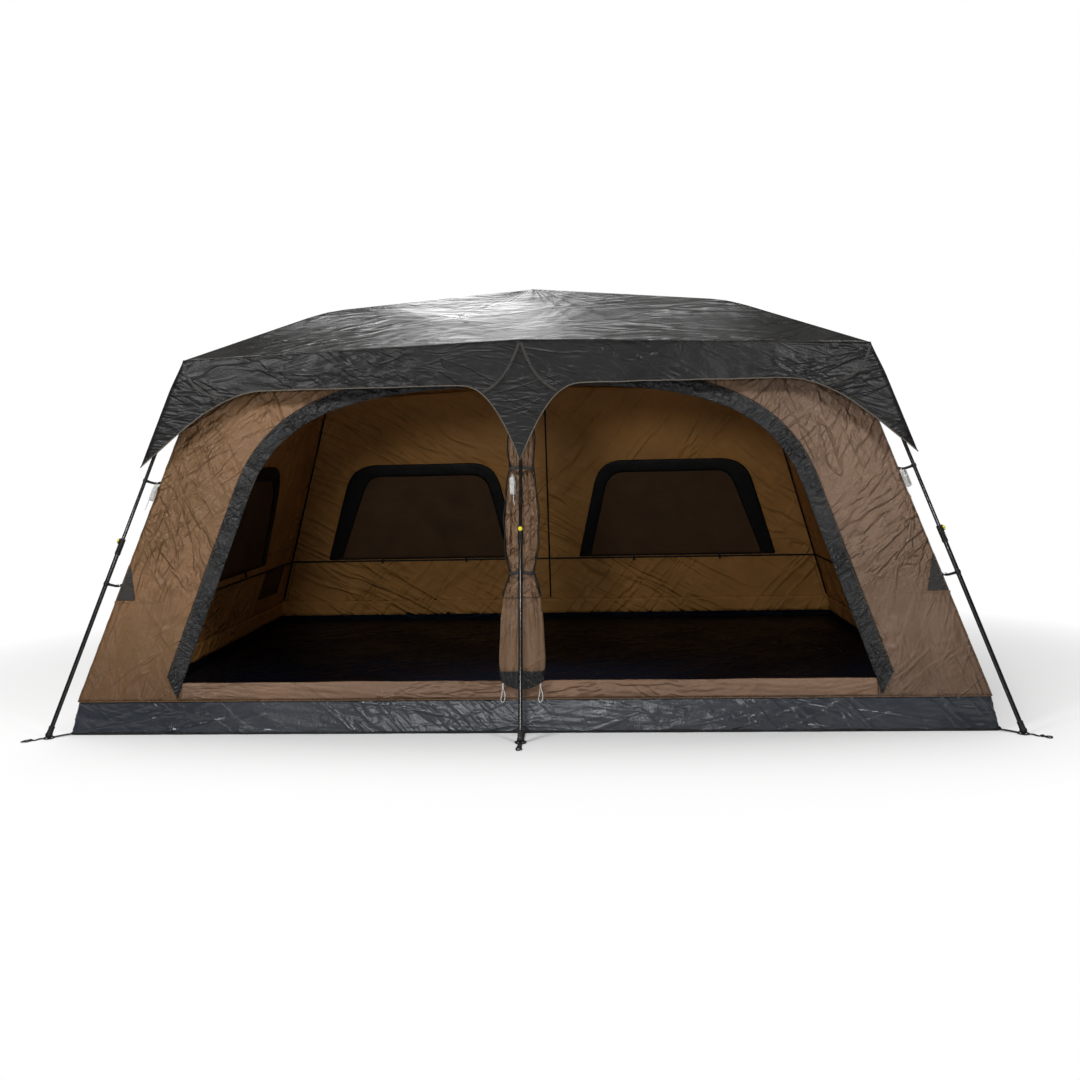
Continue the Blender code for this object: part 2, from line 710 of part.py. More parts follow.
def tray_mesh():
    """An open tray whose walls lean in to meet the body walls."""
    bm = bmesh.new()

    def corners(half_x, half_y, z):
        return [bm.verts.new((x * half_x, y * half_y, z)) for x, y in ((-1, -1), (1, -1), (1, 1), (-1, 1))]

    inner = TUB_INSET + TUB_THICKNESS
    lean = TUB_INSET / TUB_HEIGHT * TUB_THICKNESS
    foot = TUB_THICKNESS + lean
    rows = [
        corners(FLOOR_HALF_X, FLOOR_HALF_Y, 0.0),
        corners(FLOOR_HALF_X - TUB_INSET, FLOOR_HALF_Y - TUB_INSET, TUB_HEIGHT),
        corners(FLOOR_HALF_X - inner, FLOOR_HALF_Y - inner, TUB_HEIGHT),
        corners(FLOOR_HALF_X - foot, FLOOR_HALF_Y - foot, TUB_THICKNESS),
    ]
    for first, second in zip(rows, rows[1:]):
        bridge(bm, first, second, closed=True)
    bm.faces.new(rows[0])
    bm.faces.new(rows[-1])
    return mesh_from(bm, "tub")


def webbing_meshes(label, azimuth, arm):
    """A strap from under the tub's edge, an eyelet round the foot, and a stake loop beyond it."""
    foot = Vector((arm.foot.x * math.cos(azimuth), arm.foot.x * math.sin(azimuth)))
    seam = Vector(
        (
            max(-FLOOR_HALF_X, min(FLOOR_HALF_X, foot.x)),
            max(-FLOOR_HALF_Y, min(FLOOR_HALF_Y, foot.y)),
        )
    )
    direction = (foot - seam).normalized()
    heading = Matrix.Rotation(math.atan2(direction.y, direction.x), 4, "Z")
    place = Matrix.Translation((foot.x, foot.y, 0.0)) @ heading
    low, high = WEBBING_LIFT, WEBBING_LIFT + WEBBING_THICKNESS
    half = WEBBING_WIDTH / 2
    sunk = FOOT_RADIUS - high - WEBBING_LAYER
    hole = math.sqrt(FOOT_RADIUS**2 - sunk**2) + PIN_CLEARANCE
    ring = hole + EYELET_WALL
    start = -(foot - seam).length - WEBBING_TUCK

    def flat(name, outline, lower=low, upper=high):
        mesh = prism(f"{name}_{label}", outline, lower, upper, at=lambda u, v, depth: (u, v, depth))
        mesh.transform(place)
        return mesh

    loop_start = ring + WEBBING_TAIL - STAKE_LOOP_LENGTH
    wide = STAKE_LOOP_WIDTH / 2
    inside = 4 * SEAM_GAP
    strap_end = loop_start + half
    strap = flat("strap", [(start, -half), (strap_end, -half), (strap_end, half), (start, half)])
    eyelet_outline = disc_points(0.0, 0.0, ring, TUBE_SIDES + ARC_STEPS)
    eyelet = flat("eyelet", eyelet_outline, low - WEBBING_LAYER, high + WEBBING_LAYER)
    loop = flat(
        "loop",
        [(loop_start, -half + inside), (ring + WEBBING_TAIL - half, -wide), (ring + WEBBING_TAIL, -half)]
        + [(ring + WEBBING_TAIL, half), (ring + WEBBING_TAIL - half, wide), (loop_start, half - inside)],
        low + WEBBING_LAYER,
        high + 2 * WEBBING_LAYER,
    )
    foot_hole = flat("foot_hole", disc_points(0.0, 0.0, hole, TUBE_SIDES + ARC_STEPS), low - high, 2 * high)
    stake_hole = flat(
        "stake_hole",
        disc_points(ring + WEBBING_TAIL - STAKE_LOOP_LENGTH / 2, 0.0, STAKE_HOLE_RADIUS, TUBE_SIDES),
        low - high,
        2 * high,
    )
    webbing = combined(
        f"webbing_{label}",
        strap,
        ("UNION", eyelet),
        ("UNION", loop),
        ("DIFFERENCE", foot_hole),
        ("DIFFERENCE", stake_hole),
    )
    return ("UNION", webbing)


def floor_tub_mesh():
    return combined("floor_tub", tray_mesh(), *(webbing_meshes(*arm) for arm in ARMS))


# Canopies: the fly over the frame and the ceiling under it


def sheet_mesh(name, centre, columns, thickness):
    """A thin closed shell from a middle point and columns of points, thickened outwards."""
    bm = bmesh.new()
    rows = [[bm.verts.new(centre)]]
    for k in range(len(columns[0])):
        rows.append([bm.verts.new(column[k]) for column in columns])
    for first, second in zip(rows, rows[1:]):
        bridge(bm, first, second, closed=True)
    bm.normal_update()
    if sum(face.normal.z for face in bm.faces) < 0.0:
        bmesh.ops.reverse_faces(bm, faces=bm.faces)
    inner = [[vertex for vertex in row] for row in rows]
    bm.normal_update()
    outer = [[bm.verts.new(vertex.co + thickness * vertex.normal) for vertex in row] for row in inner]
    for face in list(bm.faces):
        face.normal_flip()
    for first, second in zip(outer, outer[1:]):
        bridge(bm, first, second, closed=True)
    bridge(bm, inner[-1], outer[-1], closed=True)
    return mesh_from(bm, name)


def spaced(steps):
    """Steps from 0 to 1 that are finer near both ends, without the last."""
    return [(1.0 - math.cos(math.pi * i / steps)) / 2 for i in range(steps)]


def in_space(azimuth, point):
    return Vector((point.x * math.cos(azimuth), point.x * math.sin(azimuth), point.y))


def bays():
    """Each stretch of eave between two neighbouring arms, with its steps."""
    for k, (_, azimuth, arm) in enumerate(ARMS):
        _, next_azimuth, next_arm = ARMS[(k + 1) % len(ARMS)]
        steps = SIDE_STEPS if arm is next_arm else BAY_STEPS
        yield azimuth, arm, next_azimuth, next_arm, spaced(steps)


def flare(t, arm, next_arm):
    """How far the valance's lower edge has risen, from 0 at a leg to 1 along the arch."""
    start = CORNER_FLARE if arm is corner else MID_FLARE
    end = CORNER_FLARE if next_arm is corner else MID_FLARE
    near = min(t / start, (1.0 - t) / end, 1.0)
    return 1.0 - (1.0 - near) ** FLARE_POWER


def fly_path(arm):
    """Points of the fly above an arm, from the hub's rim to the eave."""
    rim = Vector((HUB_RADIUS, HUB_PIN_HEIGHT + HUB_TOP + SEAM_GAP))
    knee, eave = arm.fly_knee, arm.fly_eave
    return [rim, (rim + knee) / 2, knee, (knee + eave) / 2, eave]


def fly_columns():
    columns = []
    for azimuth, arm, next_azimuth, next_arm, steps in bays():
        here = [in_space(azimuth, point) for point in fly_path(arm)]
        there = [in_space(next_azimuth, point) for point in fly_path(next_arm)]
        falls = []
        for side_azimuth, side_arm in ((azimuth, arm), (next_azimuth, next_arm)):
            drop, _ = along(side_arm.leg_angle)
            falls.append(in_space(side_azimuth, drop))
        for t in steps:
            sag = FLY_SAG * 4.0 * t * (1.0 - t)
            column = [a.lerp(b, t) for a, b in zip(here, there)]
            for k in range(1, len(column) - 1):
                column[k].z -= sag
            eave = column[-1]
            fall = falls[0].lerp(falls[1], t)
            low = VALANCE_TIP_HEIGHT + (VALANCE_ARCH_HEIGHT - VALANCE_TIP_HEIGHT) * flare(t, arm, next_arm)
            reach = (eave.z - low) / -fall.z
            columns.append(column + [eave + fall * reach * VALANCE_BEND, eave + fall * reach])
    return columns


def ceiling_path(azimuth, arm):
    """Points of the ceiling under an arm, from below the hub to the wall's top edge."""
    hub_end = Vector((HUB_RADIUS, HUB_PIN_HEIGHT - HUB_HEIGHT / 2 - CEILING_HUB_DROP))
    knee = Vector((arm.outer_start.x, arm.outer_start.y - CEILING_DROP))
    top = CORNER_TOP.z if arm is corner else MID_TOP_HEIGHT
    if arm is corner:
        rim = Vector((math.hypot(CORNER_TOP.x, CORNER_TOP.y), top + SEAM_GAP))
    else:
        rim = Vector((wall_y(top), top + SEAM_GAP))
    return [in_space(azimuth, point) for point in (hub_end, (hub_end + knee) / 2, knee, rim)]


def ceiling_columns():
    columns = []
    for azimuth, arm, next_azimuth, next_arm, _ in bays():
        here = ceiling_path(azimuth, arm)
        there = ceiling_path(next_azimuth, next_arm)
        for i in range(CEILING_STEPS):
            columns.append([a.lerp(b, i / CEILING_STEPS) for a, b in zip(here, there)])
    return columns


# Gathered doors and rope hanks


def gather_depth(half_width):
    """How thick the gathered panels are where the pair is this wide."""
    return GATHER_DEPTH * min(1.0, half_width / GATHER_HALF_WIDTH + GATHER_LEAST_DEPTH)


def gather_stations():
    """The stations' heights above the ground, and their half widths."""
    top = CORNER_TOP.z - DOOR_TOP_DROP
    rise = top - DOOR_SILL_HEIGHT
    return [(DOOR_SILL_HEIGHT + share * rise, width * GATHER_HALF_WIDTH) for share, width in GATHER_STATIONS]


def gather_depth_at(height):
    stations = gather_stations()
    for (low, low_width), (high, high_width) in zip(stations, stations[1:]):
        if low <= height <= high:
            share = (height - low) / (high - low)
            return gather_depth(low_width) * (1.0 - share) + gather_depth(high_width) * share
    return 0.0


def gather_mesh():
    """Two door panels drawn up beside the middle leg, narrow at their ties, behind it and before the wall."""
    rolls = []
    for side in (-1, 1):
        bm = bmesh.new()
        rows = []
        for height, half_width in gather_stations():
            reach = half_width / 2 * GATHER_OVERLAP
            depth = gather_depth(half_width) / 2
            middle_x = side * half_width / 2
            middle_y = -(wall_y(height) + SEAM_GAP + depth)
            ring = ring_points(1.0, TUBE_SIDES, math.pi / 2)
            rows.append([bm.verts.new((middle_x + reach * u, middle_y + depth * v, height)) for u, v in ring])
        for first, second in zip(rows, rows[1:]):
            bridge(bm, first, second, closed=True)
        bm.faces.new(rows[0])
        bm.faces.new(rows[-1])
        rolls.append(mesh_from(bm, f"roll_{side}"))
    return combined("door_panels", rolls[0], ("UNION", rolls[1]))


def hank_mesh():
    """A bundle of rope turns: a flat round-ended body, drawn upright about its middle."""
    end = HANK_WIDTH / 2
    straight = HANK_LENGTH / 2 - end
    outline = []
    for base, sign in ((straight, 1), (-straight, -1)):
        for i in range(ARC_STEPS + 1):
            angle = math.pi * i / ARC_STEPS
            outline.append((sign * end * math.cos(angle), base + sign * end * math.sin(angle)))
    return prism("rope_hank", outline, -HANK_THICKNESS / 2, HANK_THICKNESS / 2)


def corner_hank_place(azimuth):
    """Beside the leg, against the wall's corner and leaning as it does."""
    top = Vector((CORNER_TOP.x, CORNER_TOP.y, CORNER_TOP.z))
    foot = Vector((WALL_FOOT_X, WALL_FOOT_Y, WALL_FOOT))
    share = (HANK_HEIGHT - foot.z) / (top.z - foot.z)
    at = foot.lerp(top, share)
    run = math.hypot(foot.x - top.x, foot.y - top.y)
    lean = math.atan2(run, top.z - foot.z)
    out = math.hypot(at.x, at.y) + (HANK_WIDTH / 2 + SEAM_GAP) / math.cos(lean)
    turn = Matrix.Rotation(azimuth, 4, "Z") @ Matrix.Rotation(-lean, 4, "Y")
    return Matrix.Translation((out * math.cos(azimuth), out * math.sin(azimuth), at.z)) @ turn


def middle_hank_place():
    """In front of the left door panel, beside the middle leg."""
    lean = math.atan2(wall_y(0.0) - wall_y(1.0), 1.0)
    ends = (HANK_HEIGHT - HANK_LENGTH / 2, HANK_HEIGHT, HANK_HEIGHT + HANK_LENGTH / 2)
    proud = max(gather_depth_at(height) for height in ends)
    front = wall_y(HANK_HEIGHT) + proud + (2 * SEAM_GAP + HANK_THICKNESS / 2) / math.cos(lean)
    return Matrix.Translation((HANK_MIDDLE_AT, -front, HANK_HEIGHT)) @ Matrix.Rotation(-lean, 4, "X")


# The tent


def build():
    clear_scene()
    steel = material("black_painted_steel", (0.012, 0.012, 0.013), 0.32, 0.6)
    moulding = material("black_moulded_plastic", (0.016, 0.016, 0.017), 0.5)
    yellow = material("yellow_button_plastic", (0.90, 0.74, 0.03), 0.4)
    fly_cloth = material("charcoal_fly_fabric", (0.035, 0.032, 0.030), 0.45)
    wall_cloth = material("brown_wall_fabric", (0.150, 0.085, 0.050), 0.7)
    tub_cloth = material("slate_tub_fabric", (0.045, 0.053, 0.068), 0.4)
    rope = material("white_guy_rope", (0.80, 0.80, 0.78), 0.8)

    arm_meshes = {
        corner: (inner_arm_mesh(CORNER_INNER_ARM), outer_arm_mesh(CORNER_OUTER_ARM)),
        middle: (inner_arm_mesh(MID_INNER_ARM), outer_arm_mesh(MID_OUTER_ARM)),
    }
    upper_leg = upper_leg_mesh()
    lower_leg = lower_leg_mesh()
    foot = foot_mesh()
    button = button_mesh()
    upper_clip = clip_mesh("upper_clip", UPPER_TUBE_RADIUS)
    lower_clip = clip_mesh("lower_clip", LOWER_TUBE_RADIUS)

    add_object("hub", hub_mesh(), moulding, location=(0.0, 0.0, HUB_PIN_HEIGHT))
    for label, azimuth, arm in ARMS:
        spoke = bpy.data.objects.new(f"spoke_{label}", None)
        bpy.context.scene.collection.objects.link(spoke)
        spoke.rotation_euler = (0.0, 0.0, azimuth)
        elbow = (arm.elbow_pin.x, 0.0, arm.elbow_pin.y)
        leg_line = bpy.data.objects.new(f"leg_line_{label}", None)
        bpy.context.scene.collection.objects.link(leg_line)
        leg_line.parent = spoke
        leg_line.location = elbow
        leg_line.rotation_euler = (0.0, -arm.leg_angle, 0.0)

        inner_mesh, outer_mesh = arm_meshes[arm]
        hub_pin = (arm.hub_pin.x, 0.0, arm.hub_pin.y)
        knee_pin = (arm.knee_pin.x, 0.0, arm.knee_pin.y)
        add_object(f"inner_arm_{label}", inner_mesh, steel, spoke, hub_pin, arm.inner_angle)
        add_object(f"outer_arm_{label}", outer_mesh, steel, spoke, knee_pin, arm.outer_angle)
        add_object(f"upper_leg_{label}", upper_leg, steel, leg_line)
        add_object(f"lower_leg_{label}", lower_leg, steel, leg_line)
        button_at = COLLAR_TOP + BUTTON_FROM_COLLAR_TOP
        button_seat = ELBOW_PIN_OFFSET + POCKET_FLOOR + BUTTON_TRAVEL + SEAM_GAP
        add_object(f"button_{label}", button, yellow, leg_line, (button_at, 0.0, button_seat))
        add_object(f"foot_{label}", foot, moulding, leg_line, (LEG_LENGTH, 0.0, ELBOW_PIN_OFFSET))
        for name, mesh, height in (
            ("upper_clip", upper_clip, UPPER_CLIP_HEIGHT),
            ("lower_clip", lower_clip, LOWER_CLIP_HEIGHT),
        ):
            place = (arm.leg_at_height(height), 0.0, ELBOW_PIN_OFFSET)
            add_object(f"{name}_{label}", mesh, moulding, leg_line, place)

    add_object("floor_tub", floor_tub_mesh(), tub_cloth)
    add_object("wall_front", front_wall_mesh(), wall_cloth)
    add_object("wall_rear", end_wall_mesh("wall_rear", 1), wall_cloth)
    add_object("wall_left", side_wall_mesh("wall_left", -1), wall_cloth)
    add_object("wall_right", side_wall_mesh("wall_right", 1), wall_cloth)
    add_object("door_panels", gather_mesh(), wall_cloth)

    under_hub = (0.0, 0.0, HUB_PIN_HEIGHT - HUB_HEIGHT / 2 - CEILING_HUB_DROP)
    add_object("ceiling", sheet_mesh("ceiling", under_hub, ceiling_columns(), CANOPY_THICKNESS), wall_cloth)
    over_hub = (0.0, 0.0, HUB_PIN_HEIGHT + HUB_TOP + SEAM_GAP)
    add_object("fly", sheet_mesh("fly", over_hub, fly_columns(), CANOPY_THICKNESS), fly_cloth)

    hank = hank_mesh()
    for label, place in (
        ("front_left", corner_hank_place(math.pi + CORNER_AZIMUTH)),
        ("front_right", corner_hank_place(-CORNER_AZIMUTH)),
        ("front_mid", middle_hank_place()),
    ):
        bundle = add_object(f"rope_hank_{label}", hank, rope)
        bundle.matrix_world = place


build()
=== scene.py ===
"""Finishes of an instant cabin tent: cloth, webbing, moulded fittings, ropes, lights and camera.

Metres, +Z up, in the frame of the construction model. The doors face -Y. Each operator makes one group of
pieces.
"""

import json
import math

import bmesh
import bpy
import numpy as np
from mathutils import Matrix, Vector


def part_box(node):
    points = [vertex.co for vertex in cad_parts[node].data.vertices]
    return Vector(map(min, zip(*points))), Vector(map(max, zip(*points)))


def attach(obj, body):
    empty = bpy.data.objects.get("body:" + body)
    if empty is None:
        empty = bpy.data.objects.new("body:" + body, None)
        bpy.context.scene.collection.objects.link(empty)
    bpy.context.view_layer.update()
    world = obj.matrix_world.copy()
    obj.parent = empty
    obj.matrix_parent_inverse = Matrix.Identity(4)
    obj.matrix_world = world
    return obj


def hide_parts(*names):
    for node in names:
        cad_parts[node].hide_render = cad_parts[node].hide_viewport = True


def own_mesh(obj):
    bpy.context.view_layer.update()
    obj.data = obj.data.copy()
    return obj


bl_info = {
    "name": "Cabin Tent Finishes",
    "version": (1, 0, 0),
    "blender": (4, 5, 0),
    "location": "View3D > Sidebar > Tent",
    "description": "Dresses a folding cabin tent in cloth, webbing, rope and moulded fittings",
    "category": "Object",
}

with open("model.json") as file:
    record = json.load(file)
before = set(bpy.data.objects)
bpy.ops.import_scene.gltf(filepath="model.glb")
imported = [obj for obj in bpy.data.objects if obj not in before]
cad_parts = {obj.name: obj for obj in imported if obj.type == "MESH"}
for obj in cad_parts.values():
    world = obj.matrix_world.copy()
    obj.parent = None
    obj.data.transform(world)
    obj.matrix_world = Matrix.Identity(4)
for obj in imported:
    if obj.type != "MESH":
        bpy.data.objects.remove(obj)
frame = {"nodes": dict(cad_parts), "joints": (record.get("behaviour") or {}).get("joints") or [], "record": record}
JOINTS = {joint["name"]: joint for joint in frame["joints"]}
LABELS = ("front_left", "front_mid", "front_right", "rear_right", "rear_mid", "rear_left")
SIDES = (("left", -1), ("right", 1))

# Offsets of the pins from the tubes, and the fly's distance outside them
KNEE_PIN_OFFSET = 0.014
ELBOW_PIN_OFFSET = 0.016
FLY_RISE = 0.033
FLY_LEG_OFFSET = 0.032

# Legs, from the elbow downwards
LEG_LENGTH = 1.850
UPPER_TUBE_RADIUS = 0.0080
LOWER_TUBE_RADIUS = 0.0100
COLLAR_AT = 0.885
COLLAR_LENGTH = 0.080
COLLAR_RADIUS = 0.0130
BUTTON_AT = 0.901
BUTTON_SEAT = 0.0138
BUTTON_RADIUS = 0.0105
FOOT_RADIUS = 0.0160
LOWER_CLIP_HEIGHT = 0.700

# Body: how far its corners stand inside the elbows
WALL_CORNER_INSET = 0.045
WALL_TOP_DROP = 0.030
CEILING_DROP = 0.040

# Roof: the rim of the cloth round the hub, and where along an arm its knee is
HUB_RIM = 0.085
KNEE_SHARE = 0.62

# Valance: how far its arches and tips hang below the corner eaves, and where the arches start
TIP_DROP = 0.515
ARCH_DROP = 0.157
CORNER_FLARE = 0.28
MID_FLARE = 0.17
FLARE_POWER = 2.2

# Doors, the strip below them and the foot of the tied-up panels
SILL_HEIGHT = 0.225
DOOR_OUTER = 1.605
DOOR_INNER = 0.062
DOOR_LEAN = math.radians(18.3)
DOOR_TOP_DROP = 0.088
DOOR_SHOULDER_DROP = 0.500
DOOR_SHOULDER_PULL = 0.420
DOOR_TOP_PULL = 0.750
THRESHOLD_HEIGHT = 0.158
PANEL_FOOT = 0.262
PANEL_PLEATS = 24
TIE_HEIGHTS = (0.722, 1.205)

# Seams across the walls, and the height of the tub
WALL_SEAM_HEIGHT = 0.605
LINING_LINE_HEIGHT = 0.478
TUB_HEIGHT = 0.150

# Folds of the other walls, beside the front wall's, and room for them under what is sewn on
REAR_SHARE = 0.55
OVER_FOLDS = 0.0110

UP = np.array((0.0, 0.0, 1.0))


# Places, read from the joints


def along(angle):
    """The direction at an angle in an arm's upright plane, and the normal on its outer side."""
    direction = np.array((math.cos(angle), math.sin(angle)))
    return direction, np.array((-direction[1], direction[0]))


def crossing(start, direction, other_start, other_direction):
    """Where two lines of an upright plane cross, or the second's start where they are one line."""
    spread = direction[0] * other_direction[1] - direction[1] * other_direction[0]
    if abs(spread) < math.radians(1.0):
        return other_start
    gap = other_start - start
    return start + direction * ((gap[0] * other_direction[1] - gap[1] * other_direction[0]) / spread)


def pin(name):
    return np.array(JOINTS[name]["pos_m"], dtype=float)


def flattened(point):
    """Distance from the hub's axis, and height."""
    return np.array((math.hypot(point[0], point[1]), point[2]))


class Arm:
    """A roof arm with its leg, worked out from its pins."""

    def __init__(self, label):
        self.label = label
        elbow = pin(f"elbow_{label}")
        self.azimuth = math.atan2(elbow[1], elbow[0])
        self.radial = np.array((math.cos(self.azimuth), math.sin(self.azimuth), 0.0))
        self.side = np.cross(UP, self.radial)
        self.corner = "mid" not in label
        hub, knee, self.elbow = (flattened(pin(f"{kind}_{label}")) for kind in ("hub_fold", "knee", "elbow"))
        to_knee = knee - hub
        to_elbow = self.elbow - knee
        inner_angle = math.atan2(to_knee[1], to_knee[0]) - math.asin(KNEE_PIN_OFFSET / math.hypot(*to_knee))
        turned_by = math.asin((KNEE_PIN_OFFSET + ELBOW_PIN_OFFSET) / math.hypot(*to_elbow))
        outer_angle = math.atan2(to_elbow[1], to_elbow[0]) + turned_by
        inner, above_inner = along(inner_angle)
        outer, above_outer = along(outer_angle)
        fall = -np.array(JOINTS[f"leg_slide_{label}"]["axis"], dtype=float)
        self.leg_angle = math.atan2(fall[2], float(fall @ self.radial))
        leg, outside_leg = along(self.leg_angle)
        self.leg = self.in_space(leg)
        self.leg_out = self.in_space(outside_leg)
        self.leg_start = self.elbow + ELBOW_PIN_OFFSET * outside_leg
        self.outer_start = knee - KNEE_PIN_OFFSET * above_outer
        over_knee = self.outer_start + FLY_RISE * above_outer
        over_elbow = self.elbow + (ELBOW_PIN_OFFSET + FLY_RISE) * above_outer
        outside = self.leg_start + FLY_LEG_OFFSET * outside_leg
        self.fly_knee = crossing(hub + FLY_RISE * above_inner, inner, over_knee, outer)
        self.fly_eave = crossing(over_elbow, outer, outside, leg)

    def in_space(self, flat):
        return flat[0] * self.radial + flat[1] * UP

    def on_leg(self, distance, out=0.0, aside=0.0):
        """A point by its distance down the leg's axis, outwards from it and to its side."""
        return self.in_space(self.leg_start) + distance * self.leg + out * self.leg_out + aside * self.side

    def at_height(self, height):
        return (self.leg_start[1] - height) / -math.sin(self.leg_angle)


ARMS = {label: Arm(label) for label in LABELS}
CORNER = ARMS["front_right"]
MIDDLE = ARMS["front_mid"]

WALL_LOW, WALL_HIGH = (np.array(corner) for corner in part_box("wall_front"))
FOOT_X = float(WALL_HIGH[0])
FOOT_Y = -float(WALL_LOW[1])
FOOT_Z = float(WALL_LOW[2])
TOP_RADIUS = CORNER.elbow[0] - WALL_CORNER_INSET
TOP_X = TOP_RADIUS * abs(math.cos(CORNER.azimuth))
TOP_Y = TOP_RADIUS * abs(math.sin(CORNER.azimuth))
CORNER_TOP = CORNER.elbow[1] - WALL_TOP_DROP
MID_TOP = float(WALL_HIGH[2])
TIP_HEIGHT = CORNER.fly_eave[1] - TIP_DROP
ARCH_HEIGHT = CORNER.fly_eave[1] - ARCH_DROP
PEAK = float(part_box("fly")[1][2]) - 0.002
FLOOR_X = FOOT_X + 0.030
FLOOR_Y = FOOT_Y + 0.030
DOOR_TOP = CORNER_TOP - DOOR_TOP_DROP


def wall_x(height):
    """Half width of the body at a height."""
    return FOOT_X + (TOP_X - FOOT_X) * (height - FOOT_Z) / (CORNER_TOP - FOOT_Z)


def wall_y(height):
    """Half depth of the body at a height."""
    return FOOT_Y + (TOP_Y - FOOT_Y) * (height - FOOT_Z) / (CORNER_TOP - FOOT_Z)


# Waves and creases


def ripple(u, v, seed=0):
    """Smooth random waves of about -1 to 1, one to each unit of u and v."""
    u, v = np.broadcast_arrays(np.asarray(u, dtype=float), np.asarray(v, dtype=float))
    column, row = np.floor(u).astype(np.int64), np.floor(v).astype(np.int64)
    x, y = u - column, v - row

    def slope(i, j):
        mixed = ((column + i) * 73856093) ^ ((row + j) * 19349663) ^ (seed * 83492791)
        angle = (mixed % 3607) * (2 * math.pi / 3607)
        return np.cos(angle) * (x - i) + np.sin(angle) * (y - j)

    ease_x, ease_y = x * x * (3 - 2 * x), y * y * (3 - 2 * y)
    near = slope(0, 0) + ease_x * (slope(1, 0) - slope(0, 0))
    far = slope(0, 1) + ease_x * (slope(1, 1) - slope(0, 1))
    return 1.6 * (near + ease_y * (far - near))


def creases(u, v, seed=0, sharpness=4.0):
    """Narrow folds: 1 along each, and near 0 between them."""
    return (1.0 - np.minimum(np.abs(ripple(u, v, seed)), 1.0)) ** sharpness


def pull_lines(x, z, at, folds, reach, seed):
    """Creases that run out from a point where the cloth is pulled, and die away over a reach."""
    angle = np.arctan2(z - at[1], x - at[0])
    away = np.hypot(x - at[0], z - at[1])
    return creases(angle * folds / math.pi, away / reach * 0.5, seed) * np.exp(-away / reach)


def smooth_step(low, high, value):
    share = np.clip((value - low) / (high - low), 0.0, 1.0)
    return share * share * (3 - 2 * share)


def pleated(count, share):
    """Even pleats from 0 to 1, a number of them over a share of 1."""
    return 0.5 - 0.5 * np.cos(2 * math.pi * count * share)


# Meshes


def new_object(name, data, *skins):
    for finish in skins:
        data.materials.append(finish)
    thing = bpy.data.objects.new(name, data)
    bpy.context.scene.collection.objects.link(thing)
    return thing


def settled(thing):
    """Turns a piece's modifiers into plain mesh."""
    graph = bpy.context.evaluated_depsgraph_get()
    mesh = bpy.data.meshes.new_from_object(thing.evaluated_get(graph), depsgraph=graph)
    mesh.name = thing.name
    thing.modifiers.clear()
    thing.data = mesh
    return thing


def ride(piece, body="root", stands_for=(), soft=False):
    """Hands a finished piece to its body. Soft pieces get a mesh of their own."""
    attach(piece, body)
    if soft:
        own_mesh(piece)
    if stands_for:
        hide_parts(*stands_for)
    return piece


def raised(points, height, facing):
    """Moves a grid's points along its own normals, on the side that faces a direction."""
    normal = np.cross(np.gradient(points, axis=1), np.gradient(points, axis=0))
    normal = normal / np.maximum(np.linalg.norm(normal, axis=-1, keepdims=True), 1e-9)
    if float(np.sum(normal * facing)) < 0.0:
        normal = -normal
    return points + normal * height[..., None]


def quads(rows, columns, around=False, lengthways=False):
    """The corners of each cell of a grid, which may close on itself either way."""
    index = np.arange(rows * columns).reshape(rows, columns)
    if around:
        index = np.hstack([index, index[:, :1]])
    if lengthways:
        index = np.vstack([index, index[:1]])
    return np.stack([index[:-1, :-1], index[:-1, 1:], index[1:, 1:], index[1:, :-1]], axis=-1)


def tube(spots, closed=False):
    """Vertices and faces of rings of points, one ring to each row, with flat ends where it isn't closed."""
    rows, sides = spots.shape[:2]
    faces = [tuple(face) for face in quads(rows, sides, True, closed).reshape(-1, 4).tolist()]
    if not closed:
        faces += [tuple(range(sides))[::-1], tuple(range((rows - 1) * sides, rows * sides))]
    return spots.reshape(-1, 3), faces


def cloth_piece(name, points, finishes, thickness, facing=None, keep=None, closed=False, uv=None,
                stands_for=(), centre=False):
    """A grid of cloth that hangs on the tent, thickened inwards.

    finishes are its outer and inner ones. keep says which cells exist, closed joins its last column to the
    first, and centre merges the points round its middle.
    """
    faces = quads(*points.shape[:2], closed)
    faces = faces.reshape(-1, 4) if keep is None else faces[keep]
    spots = points.reshape(-1, 3)
    corners = spots[faces]
    normal = np.cross(corners[:, 2] - corners[:, 0], corners[:, 3] - corners[:, 1])
    outwards = corners.mean(axis=1) * (1, 1, 0) if facing is None else np.asarray(facing, dtype=float)
    if float(np.sum(normal * outwards)) < 0.0:
        faces = faces[:, ::-1]
    used, faces = np.unique(faces, return_inverse=True)
    faces = faces.reshape(-1, 4)
    mesh = bpy.data.meshes.new(name)
    mesh.from_pydata(spots[used].tolist(), [], faces.tolist())
    if uv is not None:
        layer = mesh.uv_layers.new(name="cut")
        layer.uv.foreach_set("vector", uv.reshape(-1, 2)[used][faces.reshape(-1)].ravel())
    mesh.shade_smooth()
    thing = new_object(name, mesh, *(skin(finish) for finish in finishes))
    wall = thing.modifiers.new("cloth", "SOLIDIFY")
    wall.thickness = thickness
    wall.offset = -1.0
    wall.material_offset = len(finishes) - 1
    settled(thing)
    if centre:
        close_centre(thing)
    return ride(thing, stands_for=stands_for, soft=True)


